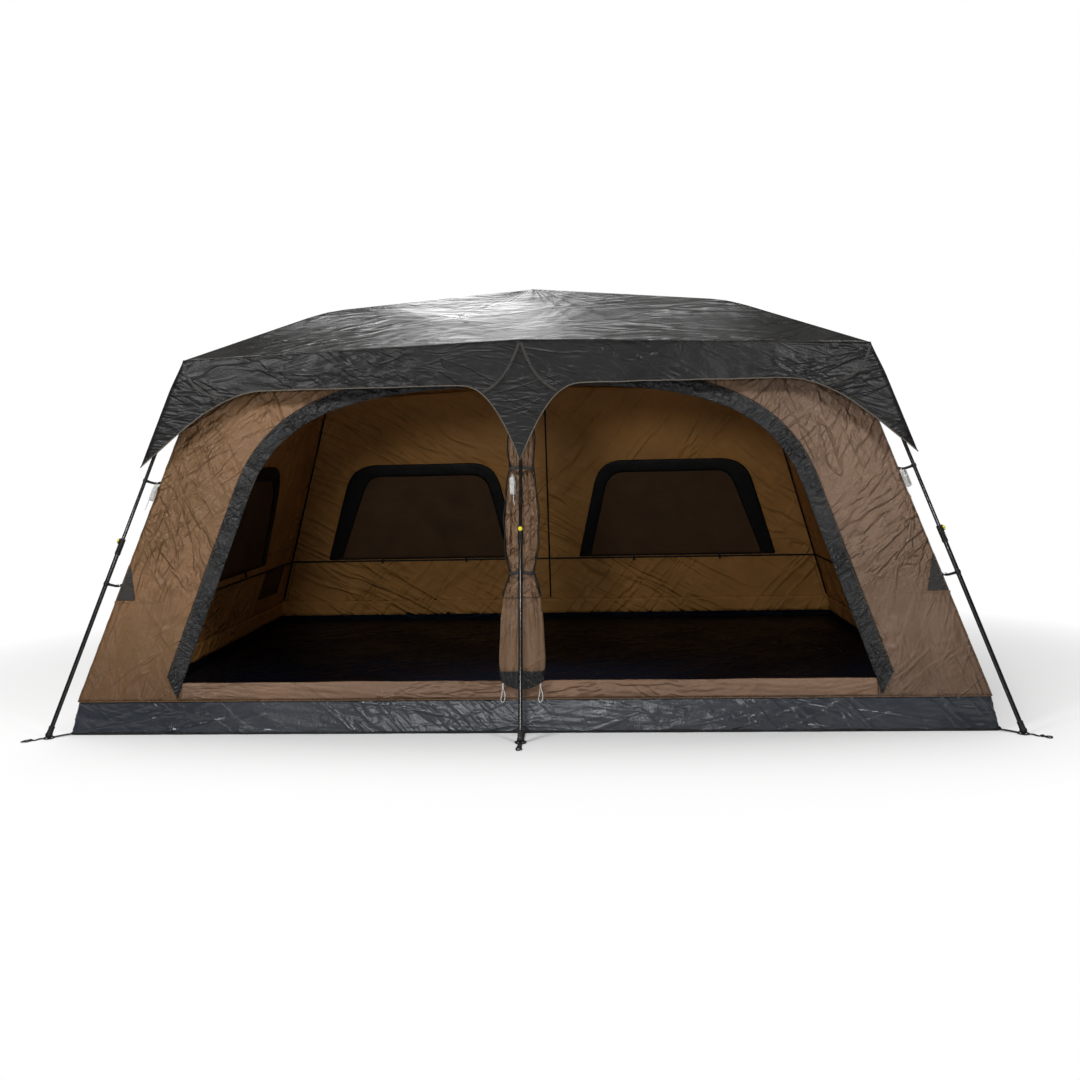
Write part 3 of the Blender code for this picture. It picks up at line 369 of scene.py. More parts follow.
def close_centre(piece):
    """Merges the ring of points at a canopy's middle, on both its faces."""
    bm = bmesh.new()
    bm.from_mesh(piece.data)
    near = [vertex for vertex in bm.verts if math.hypot(vertex.co.x, vertex.co.y) < 0.01]
    bmesh.ops.remove_doubles(bm, verts=near, dist=0.0)
    high = max(vertex.co.z for vertex in near)
    low = min(vertex.co.z for vertex in near)
    for level in (high, low):
        ring = [v for v in near if v.is_valid and abs(v.co.z - level) < (high - low) / 2 + 1e-6]
        bmesh.ops.pointmerge(bm, verts=ring, merge_co=(0.0, 0.0, level))
        near = [v for v in near if v.is_valid and v not in ring]
        if not near:
            break
    bm.to_mesh(piece.data)
    bm.free()
    piece.data.shade_smooth()


def path_frames(path, up):
    """Unit vectors across and above each point of a path."""
    forward = np.gradient(path, axis=0)
    forward /= np.maximum(np.linalg.norm(forward, axis=1, keepdims=True), 1e-12)
    if up is None:
        guess = UP if abs(forward[0][2]) < 0.9 else np.array((1.0, 0.0, 0.0))
        above = np.empty_like(forward)
        for k, ahead in enumerate(forward):
            guess = guess - ahead * float(guess @ ahead)
            guess = guess / np.linalg.norm(guess)
            above[k] = guess
    else:
        above = np.broadcast_to(np.asarray(up, dtype=float), forward.shape)
        above = above - forward * np.sum(above * forward, axis=1, keepdims=True)
        above /= np.maximum(np.linalg.norm(above, axis=1, keepdims=True), 1e-12)
    return np.cross(forward, above), above


def circle(sides, radius=1.0):
    turns = np.arange(sides) * (2 * math.pi / sides)
    return np.stack([np.cos(turns), np.sin(turns)], axis=1) * radius


def rounded_bar(half_width, half_height, sides=16, power=0.5):
    """A flat section with soft edges, as webbing has."""
    ring = circle(sides)
    return np.sign(ring) * np.abs(ring) ** power * (half_width, half_height)


def swept_mesh(path, outline, up=None, closed=False):
    """Vertices and faces of a section (across, above), or one to each point, carried along a path."""
    path = np.asarray(path, dtype=float)
    if closed:
        across, above = (axes[1:-1] for axes in path_frames(np.vstack([path[-1:], path, path[:1]]), up))
    else:
        across, above = path_frames(path, up)
    outlines = outline if outline.ndim == 3 else np.broadcast_to(outline, (len(path), *outline.shape))
    spots = path[:, None] + outlines[..., :1] * across[:, None]
    return tube(spots + outlines[..., 1:] * above[:, None], closed)


def turned(start, axis, profile, sides=28):
    """A turned part: profile is (distance along the axis, radius)."""
    axis = np.asarray(axis, dtype=float)
    steps, sizes = np.array(profile).T
    path = np.asarray(start) + axis * steps[:, None]
    across = np.cross(axis, UP if abs(axis[2]) < 0.9 else (1.0, 0.0, 0.0))
    across /= np.linalg.norm(across)
    ring = circle(sides)
    spokes = ring[:, :1] * across + ring[:, 1:] * np.cross(across, axis)
    return tube(path[:, None] + np.maximum(sizes, 1e-5)[:, None, None] * spokes)


def ring_part(start, axis, profile, sides=32):
    """A closed ring turned from a loop of (distance, radius)."""
    spots, faces = turned(start, axis, profile, sides)
    faces = [face for face in faces if len(face) == 4]
    last = (len(profile) - 1) * sides
    faces += [(last + k, last + (k + 1) % sides, (k + 1) % sides, k) for k in range(sides)]
    return spots, faces


def solid_piece(name, parts, finish, body="root", stands_for=(), sharp=40.0):
    """One object from closed parts, each (vertices, faces). What hangs on the tent itself is soft."""
    faces, base = [], 0
    for spots, corners in parts:
        faces += [tuple(base + k for k in face) for face in corners]
        base += len(spots)
    mesh = bpy.data.meshes.new(name)
    mesh.from_pydata(np.vstack([spots for spots, _ in parts]).tolist(), [], faces)
    bm = bmesh.new()
    bm.from_mesh(mesh)
    bmesh.ops.recalc_face_normals(bm, faces=bm.faces)
    bm.to_mesh(mesh)
    bm.free()
    mesh.shade_smooth()
    mesh.set_sharp_from_angle(angle=math.radians(sharp))
    return ride(new_object(name, mesh, skin(finish)), body, stands_for, soft=body == "root")


def evenly(path, step):
    """A path's points again, at an even step."""
    path = np.asarray(path, dtype=float)
    runs = np.linalg.norm(np.diff(path, axis=0), axis=1)
    reach = np.concatenate([[0.0], np.cumsum(runs)])
    count = max(2, int(round(reach[-1] / step)) + 1)
    wanted = np.linspace(0.0, reach[-1], count)
    return np.stack([np.interp(wanted, reach, path[:, k]) for k in range(path.shape[1])], axis=1)


def smooth_path(knots, per_span=10):
    """A smooth curve through some points."""
    knots = np.asarray(knots, dtype=float)
    padded = np.vstack([2 * knots[0] - knots[1], knots, 2 * knots[-1] - knots[-2]])
    shares = np.linspace(0.0, 1.0, per_span, endpoint=False)[:, None]
    spans = []
    for a, b, c, d in zip(padded, padded[1:], padded[2:], padded[3:]):
        spans.append(0.5 * (2 * b + (c - a) * shares + (2 * a - 5 * b + 4 * c - d) * shares**2
                            + (3 * b - a - 3 * c + d) * shares**3))
    return np.vstack([*spans, knots[-1:]])


def bezier(points, shares):
    points = [np.asarray(point, dtype=float)[None] for point in points]
    shares = shares[:, None]
    while len(points) > 1:
        points = [a + shares * (b - a) for a, b in zip(points, points[1:])]
    return points[0]


# Materials

# Bands of a wave texture of scale 1 are this far apart, in metres
WAVE_PERIOD = 0.3142
# The weave's bands are 2.2 mm apart, coarser than the real 0.3 mm threads, so that they show
WEAVE_SCALE = 143.0
# How far the colour and the roughness of cloth vary from patch to patch
CLOTH_CONTRAST = 0.15
CLOTH_GLOSS_SPREAD = 0.08


def linear(code):
    """A colour written as an sRGB hex value, in linear light."""
    shares = [int(code[k : k + 2], 16) / 255 for k in (1, 3, 5)]
    return [share / 12.92 if share <= 0.04045 else ((share + 0.055) / 1.055) ** 2.4 for share in shares]


def feed(tree, node, inputs):
    """Sets a node's inputs, or links them where a value is another node's socket."""
    for key, value in inputs.items():
        if isinstance(value, bpy.types.NodeSocket):
            tree.links.new(value, node.inputs[key])
        else:
            node.inputs[key].default_value = value
    return node


def add(tree, kind, inputs, **settings):
    """Adds a node with its settings and its inputs."""
    made = tree.nodes.new(kind)
    for key, value in settings.items():
        setattr(made, key, value)
    return feed(tree, made, inputs)


def fresh_material(name):
    """An empty material, its tree, its shader and the coordinates that its patterns lie on."""
    made = bpy.data.materials.new(name)
    made.use_nodes = True
    tree = made.node_tree
    return made, tree, tree.nodes["Principled BSDF"], add(tree, "ShaderNodeTexCoord", {}).outputs


def shaded(colour, share):
    """A colour made lighter (over 1) or darker (under 1)."""
    return (*(min(1.0, part * share) for part in colour), 1.0)


def crease_lines(tree, coords, turn, streak, size):
    """Thin creases drawn out along one direction, which fade in and out."""
    drawn_out = {"Vector": coords, "Rotation": turn, "Scale": streak}
    laid = add(tree, "ShaderNodeMapping", drawn_out, vector_type="TEXTURE").outputs[0]
    folded = add(tree, "ShaderNodeTexNoise",
                 {"Vector": laid, "Scale": 0.5 / size, "Detail": 2.0, "Distortion": 0.5})
    level = add(tree, "ShaderNodeMath", {0: folded.outputs["Fac"], 1: 0.5}, operation="SUBTRACT")
    away = add(tree, "ShaderNodeMath", {0: level.outputs[0]}, operation="ABSOLUTE")
    line = add(tree, "ShaderNodeMapRange", {0: away.outputs[0], 1: 0.0, 2: 0.10, 3: 1.0, 4: 0.0},
               interpolation_type="SMOOTHSTEP")
    where = add(tree, "ShaderNodeTexNoise", {"Vector": laid, "Scale": 0.16 / size, "Detail": 1.0})
    faded = add(tree, "ShaderNodeMapRange", {0: where.outputs["Fac"], 1: 0.40, 2: 0.60})
    both = {0: line.outputs[0], 1: faded.outputs[0]}
    return add(tree, "ShaderNodeMath", both, operation="MULTIPLY").outputs[0]


def cloth_material(name, colour, roughness, size, depth, streak=(1.0, 1.0, 1.0), turns=((0.0, 0.0, 0.0),),
                   crumple=0.3, other=None, specular=0.35, low_tone=1.0):
    """Coated woven polyester: a fine weave, creases and crumples that catch the light, and an uneven colour.

    size is the spacing of its creases and depth their height, in metres. streak draws them out along an axis,
    after each of the turns. other is the colour at the tent's right end. The last argument is the brightness
    that painted shade leaves at the ground, darkening the cloth towards the bottom, where such cloth is also
    tauter.
    """
    made, tree, shader, coords = fresh_material(name)
    place = coords["Object"]
    patches = add(tree, "ShaderNodeTexNoise",
                  {"Vector": place, "Scale": 2.3, "Detail": 4.0, "Roughness": 0.6}).outputs["Fac"]
    swell = add(tree, "ShaderNodeTexNoise",
                {"Vector": place, "Scale": 0.35 / size, "Detail": 3.0, "Distortion": 0.6}).outputs["Fac"]
    small = add(tree, "ShaderNodeTexNoise",
                {"Vector": place, "Scale": 1.6 / size, "Detail": 3.0, "Distortion": 1.5}).outputs["Fac"]
    crumpled = {0: small, 1: crumple, 2: swell}
    height = add(tree, "ShaderNodeMath", crumpled, operation="MULTIPLY_ADD").outputs[0]
    for turn in turns:
        line = crease_lines(tree, place, turn, streak, size)
        height = add(tree, "ShaderNodeMath", {0: height, 1: line}, operation="ADD").outputs[0]
    across, _, level = add(tree, "ShaderNodeSeparateXYZ", {0: place}).outputs
    if low_tone < 1.0:
        taut = add(tree, "ShaderNodeMapRange", {0: level, 1: 0.56, 2: 0.68, 3: 0.4, 4: 1.0}).outputs[0]
        height = add(tree, "ShaderNodeMath", {0: height, 1: taut}, operation="MULTIPLY").outputs[0]
    threads = []
    for way in "XY":
        wave = {"Vector": coords["UV"], "Scale": WEAVE_SCALE}
        threads.append(add(tree, "ShaderNodeTexWave", wave, bands_direction=way).outputs["Fac"])
    weave = add(tree, "ShaderNodeMath", {0: threads[0], 1: threads[1]}, operation="MULTIPLY").outputs[0]
    woven = add(tree, "ShaderNodeBump", {"Strength": 0.35, "Distance": 0.0003, "Height": weave}).outputs[0]
    bump = add(tree, "ShaderNodeBump",
               {"Strength": 1.0, "Distance": depth, "Height": height, "Normal": woven})
    worn = add(tree, "ShaderNodeMapRange", {0: patches, 1: 0.3, 2: 0.7}).outputs[0]
    tones = []
    for ground in (colour, other or colour):
        pair = {0: worn, 6: shaded(ground, 1.0 - CLOTH_CONTRAST), 7: shaded(ground, 1.0 + CLOTH_CONTRAST)}
        tones.append(add(tree, "ShaderNodeMix", pair, data_type="RGBA").outputs[2])
    end = add(tree, "ShaderNodeMapRange", {0: across, 1: -1.4, 2: 1.4}).outputs[0]
    base = add(tree, "ShaderNodeMix", {0: end, 6: tones[0], 7: tones[1]}, data_type="RGBA").outputs[2]
    # Painted shade: the colour darkens towards the bottom, to the given brightness at the ground
    if low_tone < 1.0:
        bottom_shade = add(tree, "ShaderNodeMapRange", {0: level, 1: 0.1, 2: 0.75, 3: low_tone, 4: 1.0}).outputs[0]
        base = add(tree, "ShaderNodeMix", {0: 1.0, 6: base, 7: bottom_shade}, data_type="RGBA",
                   blend_type="MULTIPLY").outputs[2]
    low, high = roughness - CLOTH_GLOSS_SPREAD, roughness + CLOTH_GLOSS_SPREAD
    gloss = add(tree, "ShaderNodeMapRange", {0: patches, 1: 0.3, 2: 0.7, 3: low, 4: high})
    feed(tree, shader, {"Base Color": base, "Roughness": gloss.outputs[0], "Normal": bump.outputs[0],
                        "Specular IOR Level": specular})
    return made


def moulded_material(name, colour, roughness, grain=0.0006):
    """Injection-moulded plastic: a fine spark-eroded grain and rubbed, slightly paler patches."""
    made, tree, shader, coords = fresh_material(name)
    place = coords["Object"]
    texture = add(tree, "ShaderNodeTexNoise", {"Vector": place, "Scale": 1.0 / grain, "Detail": 2.0})
    rubbed = add(tree, "ShaderNodeTexNoise", {"Vector": place, "Scale": 60.0, "Detail": 4.0})
    wear = add(tree, "ShaderNodeMapRange", {0: rubbed.outputs["Fac"], 1: 0.45, 2: 0.75}).outputs[0]
    pair = {0: wear, 6: shaded(colour, 1.0), 7: shaded(colour, 1.35)}
    base = add(tree, "ShaderNodeMix", pair, data_type="RGBA").outputs[2]
    gloss = add(tree, "ShaderNodeMapRange", {0: wear, 3: roughness + 0.08, 4: roughness - 0.08})
    bump = add(tree, "ShaderNodeBump",
               {"Strength": 0.3, "Distance": 0.0003, "Height": texture.outputs["Fac"]})
    feed(tree, shader, {"Base Color": base, "Roughness": gloss.outputs[0], "Normal": bump.outputs[0]})
    return made


def painted_steel_material(name, colour):
    """Powder-coated steel tube: black, with a faint orange peel and long rub marks from the telescoping."""
    made, tree, shader, coords = fresh_material(name)
    place = coords["Object"]
    peel = add(tree, "ShaderNodeTexNoise", {"Vector": place, "Scale": 700.0, "Detail": 2.0})
    rubs = add(tree, "ShaderNodeTexNoise", {"Vector": place, "Scale": 35.0, "Detail": 5.0, "Roughness": 0.7})
    wear = add(tree, "ShaderNodeMapRange", {0: rubs.outputs["Fac"], 1: 0.5, 2: 0.8}).outputs[0]
    pair = {0: wear, 6: shaded(colour, 1.0), 7: shaded(colour, 2.2)}
    base = add(tree, "ShaderNodeMix", pair, data_type="RGBA").outputs[2]
    gloss = add(tree, "ShaderNodeMapRange", {0: wear, 3: 0.20, 4: 0.38})
    bump = add(tree, "ShaderNodeBump", {"Strength": 0.15, "Distance": 0.0002, "Height": peel.outputs["Fac"]})
    feed(tree, shader, {"Base Color": base, "Roughness": gloss.outputs[0], "Normal": bump.outputs[0],
                        "Coat Weight": 0.5})
    return made


def webbing_material(name, colour, rib=0.0030):
    """Woven polypropylene webbing: ribs across a matt band, with painted shade in their grooves. The real ribs are
    about 1.5 mm apart.
    """
    made, tree, shader, coords = fresh_material(name)
    wave = {"Vector": coords["Object"], "Scale": WAVE_PERIOD / rib, "Distortion": 1.5, "Detail": 2.0}
    ribs = add(tree, "ShaderNodeTexWave", wave, bands_direction="DIAGONAL").outputs["Fac"]
    # Painted light and shade: lighter on the ribs' tops, darker in the grooves
    pair = {0: ribs, 6: shaded(colour, 0.6), 7: shaded(colour, 1.3)}
    base = add(tree, "ShaderNodeMix", pair, data_type="RGBA").outputs[2]
    bump = add(tree, "ShaderNodeBump", {"Strength": 0.6, "Distance": 0.0006, "Height": ribs})
    feed(tree, shader, {"Base Color": base, "Normal": bump.outputs[0], "Roughness": 0.75})
    return made


def netting_material(name, colour, hole=0.0040):
    """Insect mesh, drawn coarser than the real holes of about 1 mm, with painted shade of the closed flap in its
    holes.
    """
    made, tree, shader, coords = fresh_material(name)
    place = coords["Object"]
    cells = add(tree, "ShaderNodeTexVoronoi",
                {"Vector": place, "Scale": 1.0 / hole, "Randomness": 0.15}, feature="F1").outputs["Distance"]
    folds = add(tree, "ShaderNodeTexNoise", {"Vector": place, "Scale": 3.0, "Detail": 3.0, "Distortion": 1.2})
    share = add(tree, "ShaderNodeMapRange", {0: cells, 1: 0.2, 2: 0.6}).outputs[0]
    # Painted light and shade: the threads lighter and darker in broad patches, as over folds
    pair = {0: folds.outputs["Fac"], 6: shaded(colour, 0.6), 7: shaded(colour, 1.7)}
    thread = add(tree, "ShaderNodeMix", pair, data_type="RGBA").outputs[2]
    # Painted shade: darkest in the holes, where the closed flap behind shows in shade
    pair = {0: share, 6: shaded(colour, 0.45), 7: thread}
    base = add(tree, "ShaderNodeMix", pair, data_type="RGBA").outputs[2]
    bump = add(tree, "ShaderNodeBump", {"Strength": 0.4, "Distance": 0.0012, "Height": cells})
    feed(tree, shader, {"Base Color": base, "Normal": bump.outputs[0], "Roughness": 0.85})
    return made


def rope_material(name, colour, strand=0.0035):
    """Braided polyester cord: pale strands, with painted shade in the gaps between them."""
    made, tree, shader, coords = fresh_material(name)
    braid = {"Vector": coords["Object"], "Scale": 1.0 / strand}
    gap = add(tree, "ShaderNodeTexVoronoi", braid, feature="F1").outputs["Distance"]
    # Painted shade: darker towards the gaps between the strands
    pair = {0: gap, 6: shaded(colour, 1.0), 7: shaded(colour, 0.55)}
    base = add(tree, "ShaderNodeMix", pair, data_type="RGBA").outputs[2]
    bump = add(tree, "ShaderNodeBump", {"Strength": 0.7, "Distance": 0.0008, "Height": gap}, invert=True)
    feed(tree, shader, {"Base Color": base, "Normal": bump.outputs[0], "Roughness": 0.8})
    return made


def about(axis, *angles):
    """Turns about one axis."""
    return [tuple(angle if name == axis else 0.0 for name in "XYZ") for angle in angles]


CLOTHS = {
    # Tight coated roof cloth, with long fine creases that run across the roof
    "fly": dict(name="coated_polyester_charcoal", colour="fly", roughness=0.33, size=0.050, depth=0.0030,
                streak=(8.0, 1.0, 1.0), turns=about("Z", 0.12, -0.2, 0.45), crumple=0.15),
    # The same cloth hanging free: shorter creases along the eaves, and a duller face
    "valance": dict(name="polyester_charcoal_valance", colour="valance", roughness=0.45, size=0.030,
                    depth=0.0056, streak=(7.0, 1.0, 1.0), turns=about("Y", 0.12, -0.25, 0.5)),
    "side_valance": dict(name="polyester_charcoal_side_valance", colour="valance", roughness=0.45, size=0.030,
                         depth=0.0056, streak=(1.0, 7.0, 1.0), turns=about("X", 0.12, -0.25, 0.5)),
    "fly_inside": dict(name="coated_polyester_back", colour="trim", roughness=0.60, size=0.080, depth=0.0020),
    # Light taffeta, crumpled, with upright creases drawn from its top, and painted shade towards the ground
    "wall": dict(name="brown_polyester_taffeta", colour="wall", roughness=0.44, size=0.038, depth=0.0125,
                 streak=(1.0, 1.0, 5.0), turns=about("Y", 0.3, -0.4, 0.9), crumple=0.55, other="wall_right",
                 low_tone=0.7),
    "side_wall": dict(name="brown_polyester_side_wall", colour="wall", roughness=0.44, size=0.045,
                      depth=0.0070, streak=(1.0, 1.0, 6.0), turns=about("X", 0.3, -0.4, 0.9), crumple=0.4,
                      other="wall_right", low_tone=0.7),
    # Its inner face: matt, with long slanting pulls. Its pale gold is partly the uncoated face and partly painted
    # light that shines through the thin cloth
    "lining": dict(name="brown_taffeta_inner_face", colour="lining", roughness=0.60, size=0.070, depth=0.0110,
                   streak=(8.0, 1.0, 1.0), turns=about("Y", 0.5, 0.62, -0.9)),
    "threshold": dict(name="brown_taffeta_threshold", colour="threshold", roughness=0.48, size=0.036,
                      depth=0.0095, streak=(4.0, 1.0, 1.0), turns=about("Y", 0.1, -0.15)),
    # Thicker oxford cloth: short, deep crumples with a soft shine
    "trim": dict(name="charcoal_oxford_trim", colour="trim", roughness=0.40, size=0.022, depth=0.0085,
                 streak=(3.0, 1.0, 1.0), turns=about("Y", 0.5, -0.6), crumple=0.6, specular=0.5),
    "patch": dict(name="charcoal_oxford_patch", colour="patch", roughness=0.60, size=0.020, depth=0.0035),
    # Tarpaulin: shiny, with sharp creases along the ground
    "tub": dict(name="slate_polyethylene_tub", colour="tub", roughness=0.29, size=0.046, depth=0.0040,
                streak=(6.0, 1.0, 1.0), turns=about("Y", 0.15, -0.25, 0.8), specular=0.9),
    "floor": dict(name="black_polyethylene_floor", colour="floor", roughness=0.42, size=0.080, depth=0.0080,
                  streak=(2.5, 1.0, 1.0), turns=about("Z", 0.4, -0.5), specular=0.08),
    "piping": dict(name="taupe_bias_piping", colour="piping", roughness=0.65, size=0.020, depth=0.0008),
    "zip": dict(name="black_zip_tape", colour="zip_tape", roughness=0.55, size=0.020, depth=0.0015),
}

# Each with its material, its colour, and its roughness or the width of its strands
OTHER_FINISHES = {
    "netting": (netting_material, "insect_mesh", "netting"),
    "webbing": (webbing_material, "black_polypropylene_webbing", "webbing"),
    "steel": (painted_steel_material, "black_powder_coated_steel", "steel"),
    "plastic": (moulded_material, "black_moulded_nylon", "plastic", 0.45),
    "button": (moulded_material, "yellow_moulded_acetal", "button", 0.38),
    "toggle": (moulded_material, "white_moulded_acetal", "rope", 0.45),
    "thread": (rope_material, "tan_sewing_thread", "thread", 0.0020),
    "rope": (rope_material, "white_braided_cord", "rope"),
}

SKINS = {}


def skin(finish):
    """A named finish, made when it is first asked for."""
    look = bpy.context.scene.tent_colours
    if finish not in SKINS and finish in CLOTHS:
        given = dict(CLOTHS[finish])
        for key in {"colour", "other"} & set(given):
            given[key] = getattr(look, given[key])
        SKINS[finish] = cloth_material(**given)
    elif finish not in SKINS:
        kind, name, colour, *rest = OTHER_FINISHES[finish]
        SKINS[finish] = kind(name, getattr(look, colour), *rest)
    return SKINS[finish]


def tone(label, description, code):
    return bpy.props.FloatVectorProperty(name=label, description=description, subtype="COLOR", size=3,
                                         min=0.0, max=1.0, default=linear(code))


def length(label, description, default, high):
    return bpy.props.FloatProperty(name=label, description=description, unit="LENGTH", subtype="DISTANCE",
                                   min=0.0, max=high, default=default)


class TentColours(bpy.types.PropertyGroup):
    """Colours of the cloths, plastics and ropes."""

    fly: tone("Fly", "Roof cloth", "#222120")
    valance: tone("Valance", "Hanging edge of the fly", "#1b1a1a")
    wall: tone("Walls", "Outer face of the body", "#856445")
    wall_right: tone("Walls, right end", "Outer face of the body at its right end", "#7f6653")
    # Painted light: the lining is paler and more golden partly to stand for light shining through the walls
    lining: tone("Lining", "Inner face of the body", "#cb9452")
    threshold: tone("Threshold", "Strip under the doors", "#80644f")
    trim: tone("Trim", "Band round the doors", "#232324")
    patch: tone("Patch", "Corner reinforcements", "#383532")
    tub: tone("Tub", "Outer wall of the floor tub", "#2f343c")
    floor: tone("Floor", "Inside of the floor", "#101826")
    piping: tone("Piping", "Bound edge of the valance", "#6b6358")
    zip_tape: tone("Zip tape", "Edges of doors and windows", "#121212")
    netting: tone("Netting", "Window mesh", "#5f452c")
    webbing: tone("Webbing", "Straps", "#151515")
    steel: tone("Steel", "Tubes of the frame", "#141414")
    plastic: tone("Mouldings", "Hub, collars, clips and feet", "#161616")
    button: tone("Buttons", "Lock buttons of the legs", "#f2dc22")
    rope: tone("Rope", "Guy ropes and toggles", "#f8f8f5")
    thread: tone("Thread", "Stitches", "#a38a6e")


class TentSizes(bpy.types.PropertyGroup):
    """Sizes of the sewn and moulded details."""

    cloth_step: length("Cloth step", "Spacing of the cloth's mesh", 0.024, 0.2)
    cloth: length("Cloth", "Thickness that the cloth is drawn with", 0.0012, 0.01)
    fold: length("Folds", "Height of the walls' folds", 0.0100, 0.03)
    piping: length("Piping", "Radius of the piping", 0.0028, 0.02)
    trim: length("Trim", "Width of the band round the doors", 0.0760, 0.2)
    rope: length("Rope", "Diameter of the guy ropes", 0.0030, 0.01)
    stitch: length("Stitch", "Spacing of the stitches, drawn coarser than the real 3 mm", 0.0080, 0.05)
    window_band: length("Window band", "Width of the border round the windows", 0.0900, 0.3)


# Stitches, laid along lines by geometry nodes


def stitch_tree():
    """Short raised threads at an even spacing along each line."""
    tree = bpy.data.node_groups.new("Stitch line", "GeometryNodeTree")
    wanted = {"Geometry": "Geometry", "Spacing": "Float", "Thread": "Float", "Finish": "Material"}
    for name, kind in wanted.items():
        tree.interface.new_socket(name, in_out="INPUT", socket_type=f"NodeSocket{kind}")
    tree.interface.new_socket("Geometry", in_out="OUTPUT", socket_type="NodeSocketGeometry")
    given = add(tree, "NodeGroupInput", {}).outputs
    curve = add(tree, "GeometryNodeMeshToCurve", {"Mesh": given["Geometry"]}).outputs[0]
    evenly_laid = {"Curve": curve, "Length": given["Spacing"]}
    spots = add(tree, "GeometryNodeCurveToPoints", evenly_laid, mode="LENGTH").outputs
    long = add(tree, "ShaderNodeMath", {0: given["Spacing"], 1: 0.30}, operation="MULTIPLY").outputs[0]
    bead = {"Segments": 6, "Rings": 4, "Radius": given["Thread"]}
    thread = add(tree, "GeometryNodeMeshUVSphere", bead).outputs["Mesh"]
    ratio = add(tree, "ShaderNodeMath", {0: long, 1: given["Thread"]}, operation="DIVIDE").outputs[0]
    stretch = add(tree, "ShaderNodeCombineXYZ", {"X": 1.0, "Y": 1.0, "Z": ratio}).outputs[0]
    laid = add(tree, "GeometryNodeInstanceOnPoints",
               {"Points": spots["Points"], "Instance": thread, "Rotation": spots["Rotation"],
                "Scale": stretch}).outputs[0]
    real = add(tree, "GeometryNodeRealizeInstances", {"Geometry": laid}).outputs[0]
    done = add(tree, "GeometryNodeSetMaterial", {"Geometry": real, "Material": given["Finish"]}).outputs[0]
    add(tree, "NodeGroupOutput", {"Geometry": done})
    return tree


def stitches(name, lines, spacing, thread):
    """A plain mesh of stitches along some lines of points."""
    spots, edges = [], []
    for line in lines:
        base = len(spots)
        spots += np.asarray(line).tolist()
        edges += [(base + k, base + k + 1) for k in range(len(line) - 1)]
    mesh = bpy.data.meshes.new(name)
    mesh.from_pydata(spots, edges, [])
    thing = new_object(name, mesh)
    tree = bpy.data.node_groups.get("Stitch line") or stitch_tree()
    sewing = thing.modifiers.new("stitches", "NODES")
    sewing.node_group = tree
    values = {"Spacing": spacing, "Thread": thread, "Finish": skin("thread")}
    for item in tree.interface.items_tree:
        if item.in_out == "INPUT" and item.name in values:
            sewing[item.identifier] = values[item.name]
    return ride(settled(thing), soft=True)


# Fly

ROOF_ROWS = 66
VALANCE_ROWS = 30
CEILING_ROWS = 30
# The weave runs round the valance in this many metres of its own map
VALANCE_MAP = 8.0
# How close to a leg the valance may only fold outwards, and how wide and high its bulge over a corner leg is
CLEAR_OF_LEGS = 0.15
CORNER_BULGE_WIDTH = 0.034
CORNER_BULGE = 0.0090
# The share of an arch's rise that a seam from the eave's corner takes in
SEAM_REACH = 0.62


def arm_line(points, shares):
    """Points (r, z) along an arm, from its first point at 0 over the knee to its last at 1."""
    knots = (0.0, KNEE_SHARE, 1.0)
    return np.stack([np.interp(shares, knots, values) for values in zip(*points)], axis=-1)


def roof_line(arm, shares):
    """Points (r, z) of the fly over an arm, rounded over the knee."""
    points = ((HUB_RIM, PEAK), arm.fly_knee, arm.fly_eave)
    soft = np.minimum(0.05, np.minimum(shares, 1.0 - shares))
    above, here, below = (arm_line(points, shares + shift) for shift in (-soft, 0.0, soft))
    return (above + 2 * here + below) / 4


def bays():
    """Each stretch of eave, as its number and two neighbouring arms, anticlockwise from above."""
    ring = [ARMS[label] for label in LABELS[3:] + LABELS[:3]]
    return list(zip(range(len(ring)), ring, ring[1:] + ring[:1]))


def bay_shares(first, second, step):
    gap = np.linalg.norm(first.in_space(first.fly_eave) - second.in_space(second.fly_eave))
    return np.linspace(0.0, 1.0, max(8, int(gap / step)), endpoint=False)


def spread(first, second, lines, shares):
    """Points between two arms' lines: rows down the lines, columns across the bay."""
    here = lines[0][:, :1] * first.radial + lines[0][:, 1:] * UP
    there = lines[1][:, :1] * second.radial + lines[1][:, 1:] * UP
    return here[:, None] + shares[None, :, None] * (there - here)[:, None]


def roof_bay(number, first, second, shares):
    """The roof between two arms, plain and folded: it sags, and is pulled from every end of an arm."""
    down = np.linspace(0.0, 1.0, ROOF_ROWS)
    plain = spread(first, second, (roof_line(first, down), roof_line(second, down)), shares)
    t, s = np.meshgrid(shares, down)
    free = np.sin(math.pi * t) ** 0.7
    x, y = plain[..., 0], plain[..., 1]
    height = -0.011 * 4 * t * (1 - t) * np.sin(math.pi * np.minimum(s * 1.1, 1.0)) ** 0.5
    for arm, seed in ((first, 3), (second, 7)):
        eave, knee = arm.in_space(arm.fly_eave), arm.in_space(arm.fly_knee)
        height += free * 0.0062 * pull_lines(x, y, eave, 26, 0.55, seed + number)
        height += free * 0.0040 * pull_lines(x, y, knee, 22, 0.40, seed + number + 20)
    height += free * 0.0045 * pull_lines(x, y, (0.0, 0.0), 30, 0.60, 41 + number)
    height += free * 0.0030 * ripple(x * 2.2, y * 2.2, 50 + number)
    height += free * 0.0016 * creases(x * 6 + y * 3, y * 7 - x * 2, 60 + number, 3.0)
    height *= smooth_step(0.0, 0.05, s)
    return plain, raised(plain, height, UP)


def flare_share(arm):
    return CORNER_FLARE if arm.corner else MID_FLARE


def flare(t, first, second):
    """How far the valance's lower edge has risen, from 0 at a leg to 1 along the arch."""
    near = np.minimum(np.minimum(t / flare_share(first), (1.0 - t) / flare_share(second)), 1.0)
    return 1.0 - (1.0 - near) ** FLARE_POWER


